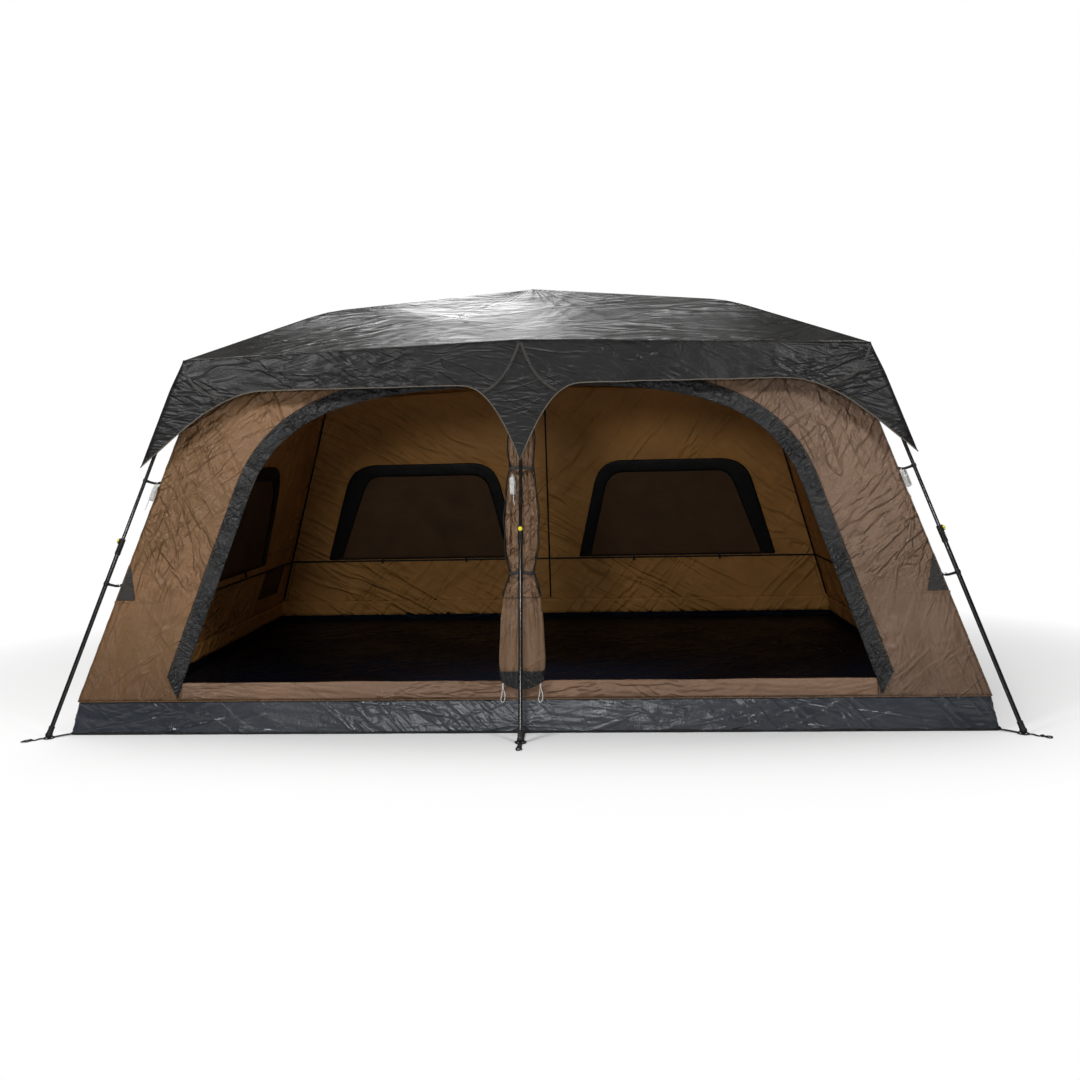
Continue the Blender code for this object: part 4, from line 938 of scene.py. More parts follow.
def valance_bay(number, first, second, t, v):
    """The valance at shares t across a bay and v down from the eave, on a plain and a folded cloth."""
    here, there = first.in_space(first.fly_eave), second.in_space(second.fly_eave)
    eave = here + t[..., None] * (there - here)
    fall = first.leg + t[..., None] * (second.leg - first.leg)
    low = TIP_HEIGHT + (ARCH_HEIGHT - TIP_HEIGHT) * flare(t, first, second)
    reach = (eave[..., 2] - low) / -fall[..., 2]
    plain = eave + fall * (reach * v)[..., None]
    run = np.linalg.norm(there - here)
    outwards = np.cross(there - here, fall)
    outwards /= np.linalg.norm(outwards, axis=-1, keepdims=True)
    if float(np.sum(outwards * plain * (1, 1, 0))) < 0.0:
        outwards = -outwards
    down = reach * v
    free = np.sin(math.pi * np.clip(t, 0, 1)) ** 0.6 * smooth_step(0.0, 0.05, down)
    near_leg = np.minimum(t, 1 - t) * run
    height = free * 0.0085 * v * ripple(t * run / 0.16, v * 0.8, 80 + number)
    height += free * 0.0032 * (creases(t * run / 0.050, down / 0.10, 90 + number, 3.0) - 0.3)
    height += free * 0.0040 * creases(t * run / 0.11 + down * 4, down / 0.30, 95 + number, 3.0)
    pulled = creases(near_leg / 0.055 - down * 1.2, down / 0.5, 99 + number, 2.0)
    height += 0.0045 * pulled * np.exp(-near_leg / 0.2) * free
    height = np.where(near_leg < CLEAR_OF_LEGS, np.maximum(height, -0.0010), height)
    folded = plain + outwards * height[..., None]
    for arm, away in ((first, t * run), (second, (1 - t) * run)):
        if arm.corner:
            room = CORNER_BULGE * np.exp(-((away / CORNER_BULGE_WIDTH) ** 2)) * smooth_step(0.0, 0.18, down)
            folded = folded + arm.leg_out * room[..., None]
    return plain, folded, outwards


class TENT_OT_fly(bpy.types.Operator):
    """Make the fly: roof, scalloped valance, seams and piping."""

    bl_idname = "tent.fly"
    bl_label = "Fly"

    def execute(self, context):
        sizes = context.scene.tent_sizes
        roofs, flat_roofs, drops, flat_drops, eaves, welts = [], [], [], [], [], []
        for number, first, second in bays():
            shares = bay_shares(first, second, sizes.cloth_step)
            plain, folded = roof_bay(number, first, second, shares)
            flat_roofs.append(plain)
            roofs.append(folded)
            t, v = np.meshgrid(shares, np.linspace(0.0, 1.0, VALANCE_ROWS))
            plain, folded, _ = valance_bay(number, first, second, t, v)
            flat_drops.append(plain)
            drops.append(folded)
            eaves.append(valance_bay(number, first, second, shares, np.zeros_like(shares))[1])
            welts += self.arch_seams(number, first, second)
        roof = np.hstack(roofs)
        centre = np.broadcast_to((0.0, 0.0, PEAK + 0.001), (1, roof.shape[1], 3))
        roof = np.vstack([centre + (roof[:1] - centre) * 0.02, centre + (roof[:1] - centre) * 0.5, roof])
        piece = cloth_piece("fly_roof", roof, ("fly", "fly_inside"), sizes.cloth, UP,
                            closed=True, uv=roof[..., :2], stands_for=("fly",), centre=True)

        valance = np.hstack(drops)
        u = np.broadcast_to(np.linspace(0.0, VALANCE_MAP, valance.shape[1]), valance.shape[:2])
        piece = cloth_piece("fly_valance", valance, ("valance", "fly_inside"), sizes.cloth,
                            closed=True, uv=np.stack([u, valance[..., 2]], axis=-1))
        piece.data.materials.append(skin("side_valance"))
        for face in piece.data.polygons:
            if face.material_index == 0 and abs(face.normal.x) > abs(face.normal.y):
                face.material_index = 2

        edge = swept_mesh(valance[-1], circle(10, sizes.piping), closed=True)
        solid_piece("valance_piping", [edge], "piping")
        welts.append(swept_mesh(np.vstack(eaves), circle(8, 0.0024), closed=True))
        solid_piece("fly_seams", welts, "patch")
        return {"FINISHED"}

    @staticmethod
    def arch_seams(number, first, second):
        """The seams that run from the eave over each leg down to the valance's arches."""
        seams = []
        s = np.linspace(0.03, 0.97, 60)
        for arm in (first, second):
            t = s * (flare_share(arm) * SEAM_REACH)
            if arm is second:
                t = 1.0 - t
            _, line, out = valance_bay(number, first, second, t, s * 0.985)
            tape = rounded_bar(0.0070, 0.0018, 12)
            seams.append(swept_mesh(line + out * 0.0006, tape, up=out.mean(axis=0)))
        return seams


class TENT_OT_ceiling(bpy.types.Operator):
    """Make the ceiling of the body, under the roof arms."""

    bl_idname = "tent.ceiling"
    bl_label = "Ceiling"

    def execute(self, context):
        sizes = context.scene.tent_sizes
        peak = float(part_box("ceiling")[1][2])
        parts = []
        down = np.linspace(0.0, 1.0, CEILING_ROWS)
        for number, first, second in bays():
            lines = []
            for arm in (first, second):
                rim = (TOP_RADIUS, CORNER_TOP + 0.003) if arm.corner else (wall_y(MID_TOP), MID_TOP + 0.003)
                knee = (arm.outer_start[0], arm.outer_start[1] - CEILING_DROP)
                lines.append(arm_line(((HUB_RIM, peak - 0.003), knee, rim), down))
            shares = bay_shares(first, second, 2 * sizes.cloth_step)
            plain = spread(first, second, lines, shares)
            t, s = np.meshgrid(shares, down)
            height = -0.004 * np.sin(math.pi * t) * np.sin(math.pi * s)
            x, y, _ = np.moveaxis(plain, -1, 0)
            height += 0.003 * np.sin(math.pi * t) * creases(x * 5, y * 5, 130 + number)
            parts.append(raised(plain, height * np.sin(math.pi * s), UP))
        grid = np.hstack(parts)
        centre = np.broadcast_to((0.0, 0.0, peak - 0.002), (1, grid.shape[1], 3))
        grid = np.vstack([centre + (grid[:1] - centre) * 0.02, grid])
        piece = cloth_piece("ceiling_cloth", grid, ("fly_inside", "lining"), sizes.cloth, UP,
                            closed=True, uv=grid[..., :2], stands_for=("ceiling",), centre=True)
        return {"FINISHED"}


# Walls

WALL_ROWS = 92
END_WALL_COLUMNS = 251
SIDE_WALL_COLUMNS = 181
# The side walls stand this far inside the end walls' edges
SIDE_WALL_INSET = 0.0006
# Height of the middle of a corner patch, where the wall lies flat, and its outline as (distance in, height)
PATCH_HEIGHT = 0.690
CORNER_PATCH = ((0.0, 0.615), (0.095, 0.615), (0.012, 0.770), (0.0, 0.780))


def inside(outline, x, z):
    """Which points lie inside a closed outline."""
    odd = np.zeros(np.shape(x), dtype=bool)
    for (ax, az), (bx, bz) in zip(outline, np.roll(outline, -1, axis=0)):
        if az != bz:
            odd ^= ((az > z) != (bz > z)) & (x < ax + (z - az) * (bx - ax) / (bz - az))
    return odd


def nearest_on(outline, x, z):
    """The nearest points of a closed outline, and how far they are."""
    best = np.full(np.shape(x), np.inf)
    found_x, found_z = np.array(x, dtype=float), np.array(z, dtype=float)
    for a, b in zip(outline, np.roll(outline, -1, axis=0)):
        run = b - a
        share = np.clip(((x - a[0]) * run[0] + (z - a[1]) * run[1]) / max(float(run @ run), 1e-12), 0.0, 1.0)
        px, pz = a[0] + share * run[0], a[1] + share * run[1]
        away = np.hypot(px - x, pz - z)
        closer = away < best
        best = np.where(closer, away, best)
        found_x, found_z = np.where(closer, px, found_x), np.where(closer, pz, found_z)
    return found_x, found_z, best


def corners_of(cells):
    """Which points of a grid are a corner of one of some cells."""
    rows, columns = cells.shape
    points = np.zeros((rows + 1, columns + 1), dtype=bool)
    for i in (0, 1):
        for j in (0, 1):
            points[i : i + rows, j : j + columns] |= cells
    return points


def door_edge():
    """The right door's leaning edge and round shoulder (x, z), from the sill's outer corner to the top."""
    rise = np.array((-math.sin(DOOR_LEAN), math.cos(DOOR_LEAN)))
    sill = np.array((DOOR_OUTER, SILL_HEIGHT))
    shoulder = sill + rise * ((DOOR_TOP - DOOR_SHOULDER_DROP - SILL_HEIGHT) / rise[1])
    end = np.array((DOOR_INNER, DOOR_TOP))
    curve = bezier((shoulder, shoulder + rise * DOOR_SHOULDER_PULL, end + (DOOR_TOP_PULL, 0.0), end),
                   np.linspace(0.0, 1.0, 60))
    return evenly(np.vstack([sill[None], curve]), 0.010)


def door_opening(side):
    line = np.vstack([door_edge(), [(DOOR_INNER, SILL_HEIGHT)]])
    return line * (side, 1.0)


def wall_relief(a, z, half, seed, deep):
    """Folds of a wall: pulled from its top corners, slack below the seam and creased near it."""
    height = np.zeros_like(a)
    edge = half(z) - np.abs(a)
    for sign in (-1, 1):
        top = (sign * half(CORNER_TOP), CORNER_TOP)
        foot = (sign * half(FOOT_Z), FOOT_Z)
        clip = (sign * half(LOWER_CLIP_HEIGHT), LOWER_CLIP_HEIGHT)
        height += 0.9 * deep * pull_lines(a, z, top, 15, 0.60, seed + sign)
        height += 0.5 * deep * pull_lines(a, z, foot, 10, 0.35, seed + sign + 5)
        height += 0.5 * deep * pull_lines(a, z, clip, 9, 0.22, seed + 9)
    height += 0.75 * deep * ripple(edge / 0.060, z * 0.9, seed + 11) * np.exp(-edge / 0.22)
    below = smooth_step(WALL_SEAM_HEIGHT + 0.01, WALL_SEAM_HEIGHT - 0.08, z)
    height += 0.8 * deep * below * ripple(a / 0.11, z * 2.0, seed + 13)
    height += 0.55 * deep * (1 - below) * ripple(a * 3.1 + z, z * 2.3 - a, seed + 15)
    height += 0.28 * deep * (creases(a * 9, z * 9, seed + 17, 3.0) - 0.3)
    patch = smooth_step(0.8, 1.3, np.hypot(edge / 0.13, (z - PATCH_HEIGHT) / 0.16))
    held = np.minimum(np.minimum(edge / 0.05, (z - FOOT_Z) / 0.05), patch)
    seam = 1.0 - 0.8 * np.exp(-((z - WALL_SEAM_HEIGHT) / 0.02) ** 2)
    return height * np.clip(held, 0.0, 1.0) * seam


def door_relief(x, z, side, deep):
    """Short crumples drawn up along a door's ruched edge."""
    edge = door_edge() * (side, 1.0)
    _, _, away = nearest_on(np.vstack([edge, edge[::-1]]), x, z)
    round_door = np.arctan2(z - 0.7, side * x - 0.4)
    pull = creases(round_door * 24, away * 5, 210 + side, 2.5)
    return deep * 2.0 * (pull - 0.3) * np.exp(-away / 0.13)


def with_doorways(x, z, height, deep):
    """Cuts the doorways out of the front wall's grid, and draws its rim onto their edges."""
    keep = np.ones((x.shape[0] - 1, x.shape[1] - 1), dtype=bool)
    for side in (-1, 1):
        outline = door_opening(side)
        away = nearest_on(outline, x, z)[2]
        height = (height + door_relief(x, z, side, deep)) * smooth_step(0.050, 0.115, away)
        keep &= ~inside(outline, (x[1:, 1:] + x[:-1, :-1]) / 2, (z[1:, 1:] + z[:-1, :-1]) / 2)
    rim = corners_of(~keep) & corners_of(keep)
    for side in (-1, 1):
        near_x, near_z, away = nearest_on(door_opening(side), x, z)
        snap = rim & (away < 0.03)
        x = np.where(snap, near_x, x)
        z = np.where(snap, near_z, z)
    return x, z, np.where(rim, 0.0, height), keep


class TENT_OT_walls(bpy.types.Operator):
    """Make the four walls with their seams, piping and corner patches."""

    bl_idname = "tent.walls"
    bl_label = "Walls"

    def execute(self, context):
        sizes = context.scene.tent_sizes
        self.end_wall("front", -1, sizes, sizes.fold)
        self.end_wall("rear", 1, sizes, sizes.fold * REAR_SHARE)
        for name, side in SIDES:
            self.side_wall(name, side, sizes, sizes.fold * REAR_SHARE)
        self.seams(sizes)
        self.corners()
        return {"FINISHED"}

    @staticmethod
    def end_wall(name, side, sizes, deep):
        """The front or rear wall, which is higher in its middle."""
        across, up = np.meshgrid(np.linspace(-1.0, 1.0, END_WALL_COLUMNS), np.linspace(0.0, 1.0, WALL_ROWS))
        top = CORNER_TOP + (MID_TOP - CORNER_TOP) * (1.0 - np.abs(across))
        z = FOOT_Z + up * (top - FOOT_Z)
        share = np.minimum((z - FOOT_Z) / (CORNER_TOP - FOOT_Z), 1.0)
        x = across * (FOOT_X + (TOP_X - FOOT_X) * share)
        height = wall_relief(x, z, wall_x, 300 + side * 40, deep)
        keep = None
        if name == "front":
            x, z, height, keep = with_doorways(x, z, height, deep)
        plain = np.stack([x, side * wall_y(z), z], axis=-1)
        grid = raised(plain, height, (0, side, 0))
        piece = cloth_piece(f"{name}_wall_cloth", grid, ("wall", "lining"), sizes.cloth,
                            (0, side, 0), keep, uv=grid[..., [0, 2]], stands_for=(f"wall_{name}",))

    @staticmethod
    def side_wall(name, side, sizes, deep):
        across, up = np.meshgrid(np.linspace(-1.0, 1.0, SIDE_WALL_COLUMNS), np.linspace(0.0, 1.0, WALL_ROWS))
        z = FOOT_Z + up * (CORNER_TOP - FOOT_Z)
        plain = np.stack([side * wall_x(z), across * (wall_y(z) - SIDE_WALL_INSET), z], axis=-1)
        height = wall_relief(plain[..., 1], z, wall_y, 400 + side * 40, deep)
        grid = raised(plain, height, (side, 0, 0))
        piece = cloth_piece(f"{name}_wall_cloth", grid, ("side_wall", "lining"), sizes.cloth,
                            (side, 0, 0), uv=grid[..., [1, 2]], stands_for=(f"wall_{name}",))

    @staticmethod
    def seams(sizes):
        """Felled seams round the body at mid height, with stitches beside them."""
        level = WALL_SEAM_HEIGHT
        x, y = wall_x(level), wall_y(level)
        edge = door_edge()[:100]
        door = float(np.interp(level, edge[:, 1], edge[:, 0])) + sizes.trim * 0.7
        bars, sewn = [], []
        runs = (((-x, y), (x, y)), ((-x, -y), (-door, -y)), ((door, -y), (x, -y)),
                ((-x, -y), (-x, y)), ((x, -y), (x, y)))
        for (ax, ay), (bx, by) in runs:
            path = evenly([(ax, ay, level), (bx, by, level)], 0.02)
            out = np.array((0.0, np.sign(ay), 0.0)) if ay == by else np.array((np.sign(ax), 0.0, 0.0))
            path += out * 0.0012
            bars.append(swept_mesh(path, rounded_bar(0.0065, 0.0013, 12), up=out))
            sewn += [path + out * 0.0016 + (0, 0, lift) for lift in (-0.004, 0.004)]
        solid_piece("wall_seams", bars, "wall")
        stitches("wall_seam_stitches", sewn, sizes.stitch, 0.0007)

    @staticmethod
    def corners():
        """At each corner of the body, two lines of piping up the end wall and a thin reinforcement."""
        piping, patches = [], []
        z = np.linspace(FOOT_Z, CORNER_TOP - 0.01, 60)
        count = len(CORNER_PATCH)
        faces = [tuple(range(count)), tuple(range(count, 2 * count))]
        faces += [(k, (k + 1) % count, count + (k + 1) % count, count + k) for k in range(count)]
        for sx, sy in ((-1, -1), (-1, 1), (1, -1), (1, 1)):
            for inset, radius in ((0.004, 0.0030), (0.034, 0.0018)):
                x = sx * (wall_x(z) - inset) + 0.0015 * np.sin(z * 60 + sx + inset * 90)
                path = np.stack([x, sy * (wall_y(z) + 0.0015), z], axis=1)
                piping.append(swept_mesh(path, circle(8, radius)))
            spots = [(sx * (wall_x(height) - x_in), sy * (wall_y(height) + lift), height)
                     for lift in (0.0015, 0.0040) for x_in, height in CORNER_PATCH]
            patches.append((np.array(spots), faces))
        solid_piece("wall_corner_piping", piping, "wall")
        solid_piece("wall_corner_patches", patches, "patch", sharp=25.0)


# Doors

# Half width of the tied-up pair by height: full at the foot, drawn in at each tie
PAIR_WIDTHS = np.array((
    (0.262, 0.098), (0.300, 0.106), (0.340, 0.107), (0.520, 0.098), (0.610, 0.086), (0.690, 0.060),
    (0.722, 0.053), (0.760, 0.062), (0.850, 0.074), (0.960, 0.078), (1.080, 0.070), (1.180, 0.055),
    (1.205, 0.052), (1.260, 0.058), (1.400, 0.058), (1.605, 0.052),
))
PANEL_DEPTH = 0.046


def pair_width(z):
    return np.interp(z, PAIR_WIDTHS[:, 0], PAIR_WIDTHS[:, 1])


def crowned(share):
    """The depth of a gathered panel from its inner edge at 0 to its outer one at 1: 1 in its middle."""
    return (1.0 - 0.72 * (2 * share - 1) ** 2) ** 0.5


class TENT_OT_doors(bpy.types.Operator):
    """Make the doors: ruched trim, threshold and the two panels tied up beside the middle leg."""

    bl_idname = "tent.doors"
    bl_label = "Doors"

    def execute(self, context):
        sizes = context.scene.tent_sizes
        for name, side in SIDES:
            self.trim(name, side, sizes)
        self.threshold()
        tapes = [self.panel(name, side) for name, side in SIDES]
        solid_piece("door_edge_tapes", tapes, "zip")
        self.ties()
        self.base()
        for name, side in SIDES:
            self.pull_loop(name, side)
        return {"FINISHED"}

    @staticmethod
    def trim(name, side, sizes):
        """A padded band round the doorway, ruched where it curves and cut to a point at its foot."""
        line = evenly(door_edge(), 0.0055)
        run = np.gradient(line, axis=0)
        run /= np.linalg.norm(run, axis=1, keepdims=True)
        outer = np.stack([run[:, 1], -run[:, 0]], axis=1)
        reach = np.concatenate([[0.0], np.cumsum(np.linalg.norm(np.diff(line, axis=0), axis=1))])
        bend = smooth_step(0.55, 0.95, reach)
        ruched = bend[:, None]
        s, q = np.meshgrid(reach, np.linspace(-1.0, 1.0, 17), indexing="ij")
        cut = np.interp(q, (-1.0, 1.0), (-0.062, 0.012)) * np.clip(1.0 - s / 0.20, 0.0, 1.0)

        def on_band(k, share, slant):
            """x or z across the band, from its inner edge at -1 to its outer one at 1."""
            edge = line[:, k, None] + outer[:, k, None] * (share + 1) / 2 * sizes.trim
            return edge + run[:, k, None] * slant

        wobble = 0.0022 * ripple(s / 0.03, 0.0 * q, 520 + side) * ruched
        px = on_band(0, q, cut) + outer[:, :1] * wobble
        pz = on_band(1, q, cut) + outer[:, 1:] * wobble
        ruche = creases(s / 0.021 + 0.9 * q * np.sin(s * 17), q * 0.9 + s * 2, 530 + side, 1.6) - 0.35
        soft = ripple(s / 0.07, q * 1.4, 540 + side)
        puff = (1.0 - q**4) ** 0.5
        height = 0.0045 + puff * (0.0035 + 0.0085 * ruche * ruched + (0.0016 + 0.001 * ruched) * soft)
        height += puff * (1 - ruched) * 0.0022 * np.exp(-((q + 0.35) / 0.10) ** 2)
        front = np.stack([side * px, -(wall_y(pz) + height), pz], axis=-1)
        back = np.stack([side * px, -(wall_y(pz) - 0.0045 - 0.0020 * puff), pz], axis=-1)
        ring = np.concatenate([front, back[:, ::-1]], axis=1)
        rows, sides = ring.shape[:2]
        faces = [tuple(face) for face in quads(rows, sides, True).reshape(-1, 4).tolist()]
        for start in (0, (rows - 1) * sides):
            end = start + sides - 1
            faces += [(start + k, start + k + 1, end - 1 - k, end - k) for k in range(sides // 2 - 1)]
        solid_piece(f"door_trim_{name}", [(ring.reshape(-1, 3), faces)], "trim", sharp=60.0)
        edges = []
        lift = 0.0050 + 0.0015 * ripple(reach / 0.03, 0 * reach, 550 + side) * bend
        for share, slant, radius in ((-1.0, cut[:, :1], 0.0036), (1.0, cut[:, -1:], 0.0030)):
            x, z = (on_band(k, share, slant)[:, 0] for k in (0, 1))
            edges.append(swept_mesh(np.stack([side * x, -(wall_y(z) + lift), z], axis=1), circle(8, radius)))
        solid_piece(f"door_trim_piping_{name}", edges, "trim")
        sewn = []
        for share in (0.92, 0.80):
            x, z = (on_band(k, share, 0.0)[:, 0] for k in (0, 1))
            sewn.append(np.stack([side * x, -(wall_y(z) + 0.0078 + 0.0006), z], axis=1)[6:])
        stitches(f"door_trim_stitches_{name}", sewn, sizes.stitch, 0.0006)

    @staticmethod
    def threshold():
        """The strip of wall under the doors, rolled over its top edge."""
        x = np.linspace(0.005 - DOOR_OUTER, DOOR_OUTER - 0.005, 420)
        rows = []
        for q in np.linspace(0.0, 1.0, 15):
            z = THRESHOLD_HEIGHT + (SILL_HEIGHT + 0.006 - THRESHOLD_HEIGHT) * q
            lump = 0.0042 * ripple(x / 0.20 + 3 * q, q * 2.2 + 0 * x, 560)
            lump += 0.0034 * (creases(x / 0.11 + q, q * 3.2 + x * 0.6, 561, 2.5) - 0.3)
            bulge = 0.0040 + 0.0050 * math.sin(math.pi * q) ** 0.5
            top = z + 0.0030 * ripple(x / 0.31, 0 * x, 562) * q
            rows.append(np.stack([x, -(wall_y(top) + bulge + lump * math.sin(math.pi * q)), top], axis=-1))
        grid = np.stack([*rows, rows[-1] + (0.0, 0.010, 0.001), rows[-1] + (0.0, 0.014, -0.012)])
        piece = cloth_piece("door_threshold", grid, ("threshold",), 0.0015, (0, -1, 0),
                            uv=grid[..., [0, 2]])

    @staticmethod
    def panel(name, side):
        """A door drawn together: a smooth outer layer over the rest of the cloth in narrow pleats."""
        outer = np.linspace(1.0, 0.0, 37)
        inner = np.linspace(0.0, 1.0, PANEL_PLEATS * 6 + 1)
        z = np.linspace(PANEL_FOOT, DOOR_TOP - 0.004, 120)
        leg = MIDDLE.leg_start[0] + MIDDLE.at_height(z) * math.cos(MIDDLE.leg_angle) - LOWER_TUBE_RADIUS
        room = leg - wall_y(z) - 0.010
        s, t = np.meshgrid(np.concatenate([outer, inner]), z)
        wide = pair_width(t)
        depth = np.minimum(PANEL_DEPTH * np.minimum(1.0, wide / 0.085), room[:, None])
        soft = 0.22 * ripple(s * 5.0 + side, t * 1.6, 600 + side)
        soft += 0.16 * (creases(s * 4 + 0.4 * t, t * 4, 610 + side, 2.0) - 0.4)
        front = depth * crowned(s) * (0.84 + soft * smooth_step(0.0, 0.15, s) * smooth_step(1.0, 0.9, s))
        is_outer = np.arange(s.shape[1]) < len(outer)
        out = np.where(is_outer[None], front, 0.004 + (front - 0.010) * pleated(PANEL_PLEATS, s))
        x = side * (0.003 + (wide - 0.003) * s + 0.0012 * ripple(s * 9, t * 9, 620 + side))
        grid = np.stack([x, -(wall_y(t) + out), t], axis=-1)
        dresses = ("door_panels",) if side < 0 else ()
        piece = cloth_piece(f"door_panel_{name}", grid, ("wall",), 0.0006, (0, -1, 0),
                            uv=np.stack([s * 0.2, t], axis=-1), stands_for=dresses)
        # The seam across the outer layer at the walls' seam height: a real seam, drawn as a dark charcoal bar for
        # the painted shade along its overlap
        row = grid[np.argmin(np.abs(z - WALL_SEAM_HEIGHT)), : len(outer)] - (0, 0.0006, 0)
        seam_shade_bar = swept_mesh(row, rounded_bar(0.0009, 0.0040, 8), up=(0, -1, 0))
        solid_piece(f"door_panel_seam_{name}", [seam_shade_bar], "patch")
        edge_z = z[z > WALL_SEAM_HEIGHT]
        edge_x = side * (pair_width(edge_z) + 0.005) + 0.0025 * np.sin(edge_z * 38 + side)
        path = np.stack([edge_x, -(wall_y(edge_z) + 0.016), edge_z], axis=1)
        return swept_mesh(path, rounded_bar(0.0035, 0.0085, 10), up=(0, -1, 0))

    @staticmethod
    def ties():
        """A band round the pair at each tie, and its loose end."""
        parts = []
        turns = np.linspace(0.0, 2 * math.pi, 48, endpoint=False)
        for height in TIE_HEIGHTS:
            half = float(pair_width(height)) + 0.006
            back = wall_y(height) + 0.004
            path = np.stack([half * np.cos(turns), -(back + 0.020 - 0.024 * np.sin(turns)),
                             height + 0.004 * np.sin(3 * turns)], axis=1)
            parts.append(swept_mesh(path, rounded_bar(0.0012, 0.0085, 10), up=UP, closed=True))
            tail = smooth_path([(half * 0.9, -(back + 0.035), height),
                                (half + 0.018, -(back + 0.034), height - 0.004),
                                (half + 0.036, -(back + 0.028), height - 0.002)])
            parts.append(swept_mesh(tail, rounded_bar(0.0010, 0.0050, 10), up=(0, -1, 0)))
        solid_piece("door_ties", parts, "patch")

    @staticmethod
    def base():
        """The charcoal foot of the pair, drawn to a point."""
        s, q = np.meshgrid(np.linspace(-1.0, 1.0, 61), np.linspace(0.0, 1.0, 20))
        wide = 0.108 * (1.0 - 0.10 * (1 - q))
        low = 0.200 + 0.034 * np.abs(s) ** 1.6
        z = low + (0.285 - low) * q
        fold = pleated(1, 5 * np.abs(s) ** 0.8 + 0.2 * ripple(s * 3, q * 2, 640))
        out = 0.014 + (0.042 + 0.008 * fold) * crowned(np.abs(s)) * (0.55 + 0.45 * q)
        grid = np.stack([wide * s, -(wall_y(z) + out), z], axis=-1)
        piece = cloth_piece("door_panel_base", grid, ("trim",), 0.0015, (0, -1, 0),
                            uv=grid[..., [0, 2]])

    @staticmethod
    def pull_loop(name, side):
        """A white cord that hangs in a loop from the pair's foot."""
        x = side * 0.086
        front = -(wall_y(0.21) + 0.040)
        knots = [(x, front + 0.024, 0.240), (x, front + 0.004, 0.208), (x + 0.008, front - 0.007, 0.180),
                 (x + 0.006, front - 0.012, 0.156), (x - 0.004, front - 0.013, 0.144),
                 (x - 0.011, front - 0.011, 0.158), (x - 0.006, front - 0.005, 0.182),
                 (x - 0.004, front + 0.008, 0.210), (x - 0.003, front + 0.024, 0.238)]
        path = evenly(smooth_path(knots), 0.004)
        loop = solid_piece(f"pull_loop_{name}", [swept_mesh(path, circle(10, 0.0018))], "rope")


# Windows

# A window: heights of its sill, shoulders and top, and its two edges at each
REAR_WINDOW = (0.490, 1.035, 1.212, (0.225, 1.695), (0.345, 1.505), (0.56, 1.24))
SIDE_WINDOW = (0.530, 0.980, 1.220, (-0.75, 0.75), (-0.60, 0.60), (-0.30, 0.30))
# Widths of a rear window's border at the sill's ends and the shoulders, as shares of the band
REAR_BORDER = ((1.0, 1.2), (0.9, 1.4))
SIDE_BORDER = ((1.0, 1.0), (1.0, 1.0))
INNER_SILL = 0.012
INNER_SHOULDER = 0.035
INNER_FLAT = 0.01
TOGGLE_SHARES = (0.28, 0.72)
POCKET_Y = (0.83, 1.22)
POCKET_Z = (0.27, 0.47)


def window_ring(sill, shoulder, top, low, high, flat, count=140):
    """A window's outline (a, z): low, high and flat are its edges at the sill, the shoulders and the top."""
    edges = []
    for foot_a, neck_a, crown_a in zip(low, high, flat):
        lean = (neck_a - foot_a) / (shoulder - sill)
        rise = 0.75 * (top - shoulder)
        bend = (neck_a + lean * rise, shoulder + rise)
        level = (crown_a + 0.5 * (neck_a - crown_a), top)
        curve = bezier(((neck_a, shoulder), bend, level, (crown_a, top)), np.linspace(0.0, 1.0, 20))
        edges.append(np.vstack([[(foot_a, sill)], curve]))
    ring = np.vstack([edges[0], edges[1][::-1], edges[0][:1]])
    return evenly(ring, np.sum(np.linalg.norm(np.diff(ring, axis=0), axis=1)) / count)[:-1]


def inner_ring(window, border, band):
    """The inner edge of a window's border."""
    sill, shoulder, top, low, high, flat = window
    widths = [(left * band, right * band) for left, right in border]
    low, high, flat = [(edge[0] + left, edge[1] - right) for edge, (left, right)
                       in zip((low, high, flat), (*widths, (INNER_FLAT, INNER_FLAT)))]
    return window_ring(sill + INNER_SILL, shoulder - INNER_SHOULDER, top - band, low, high, flat)


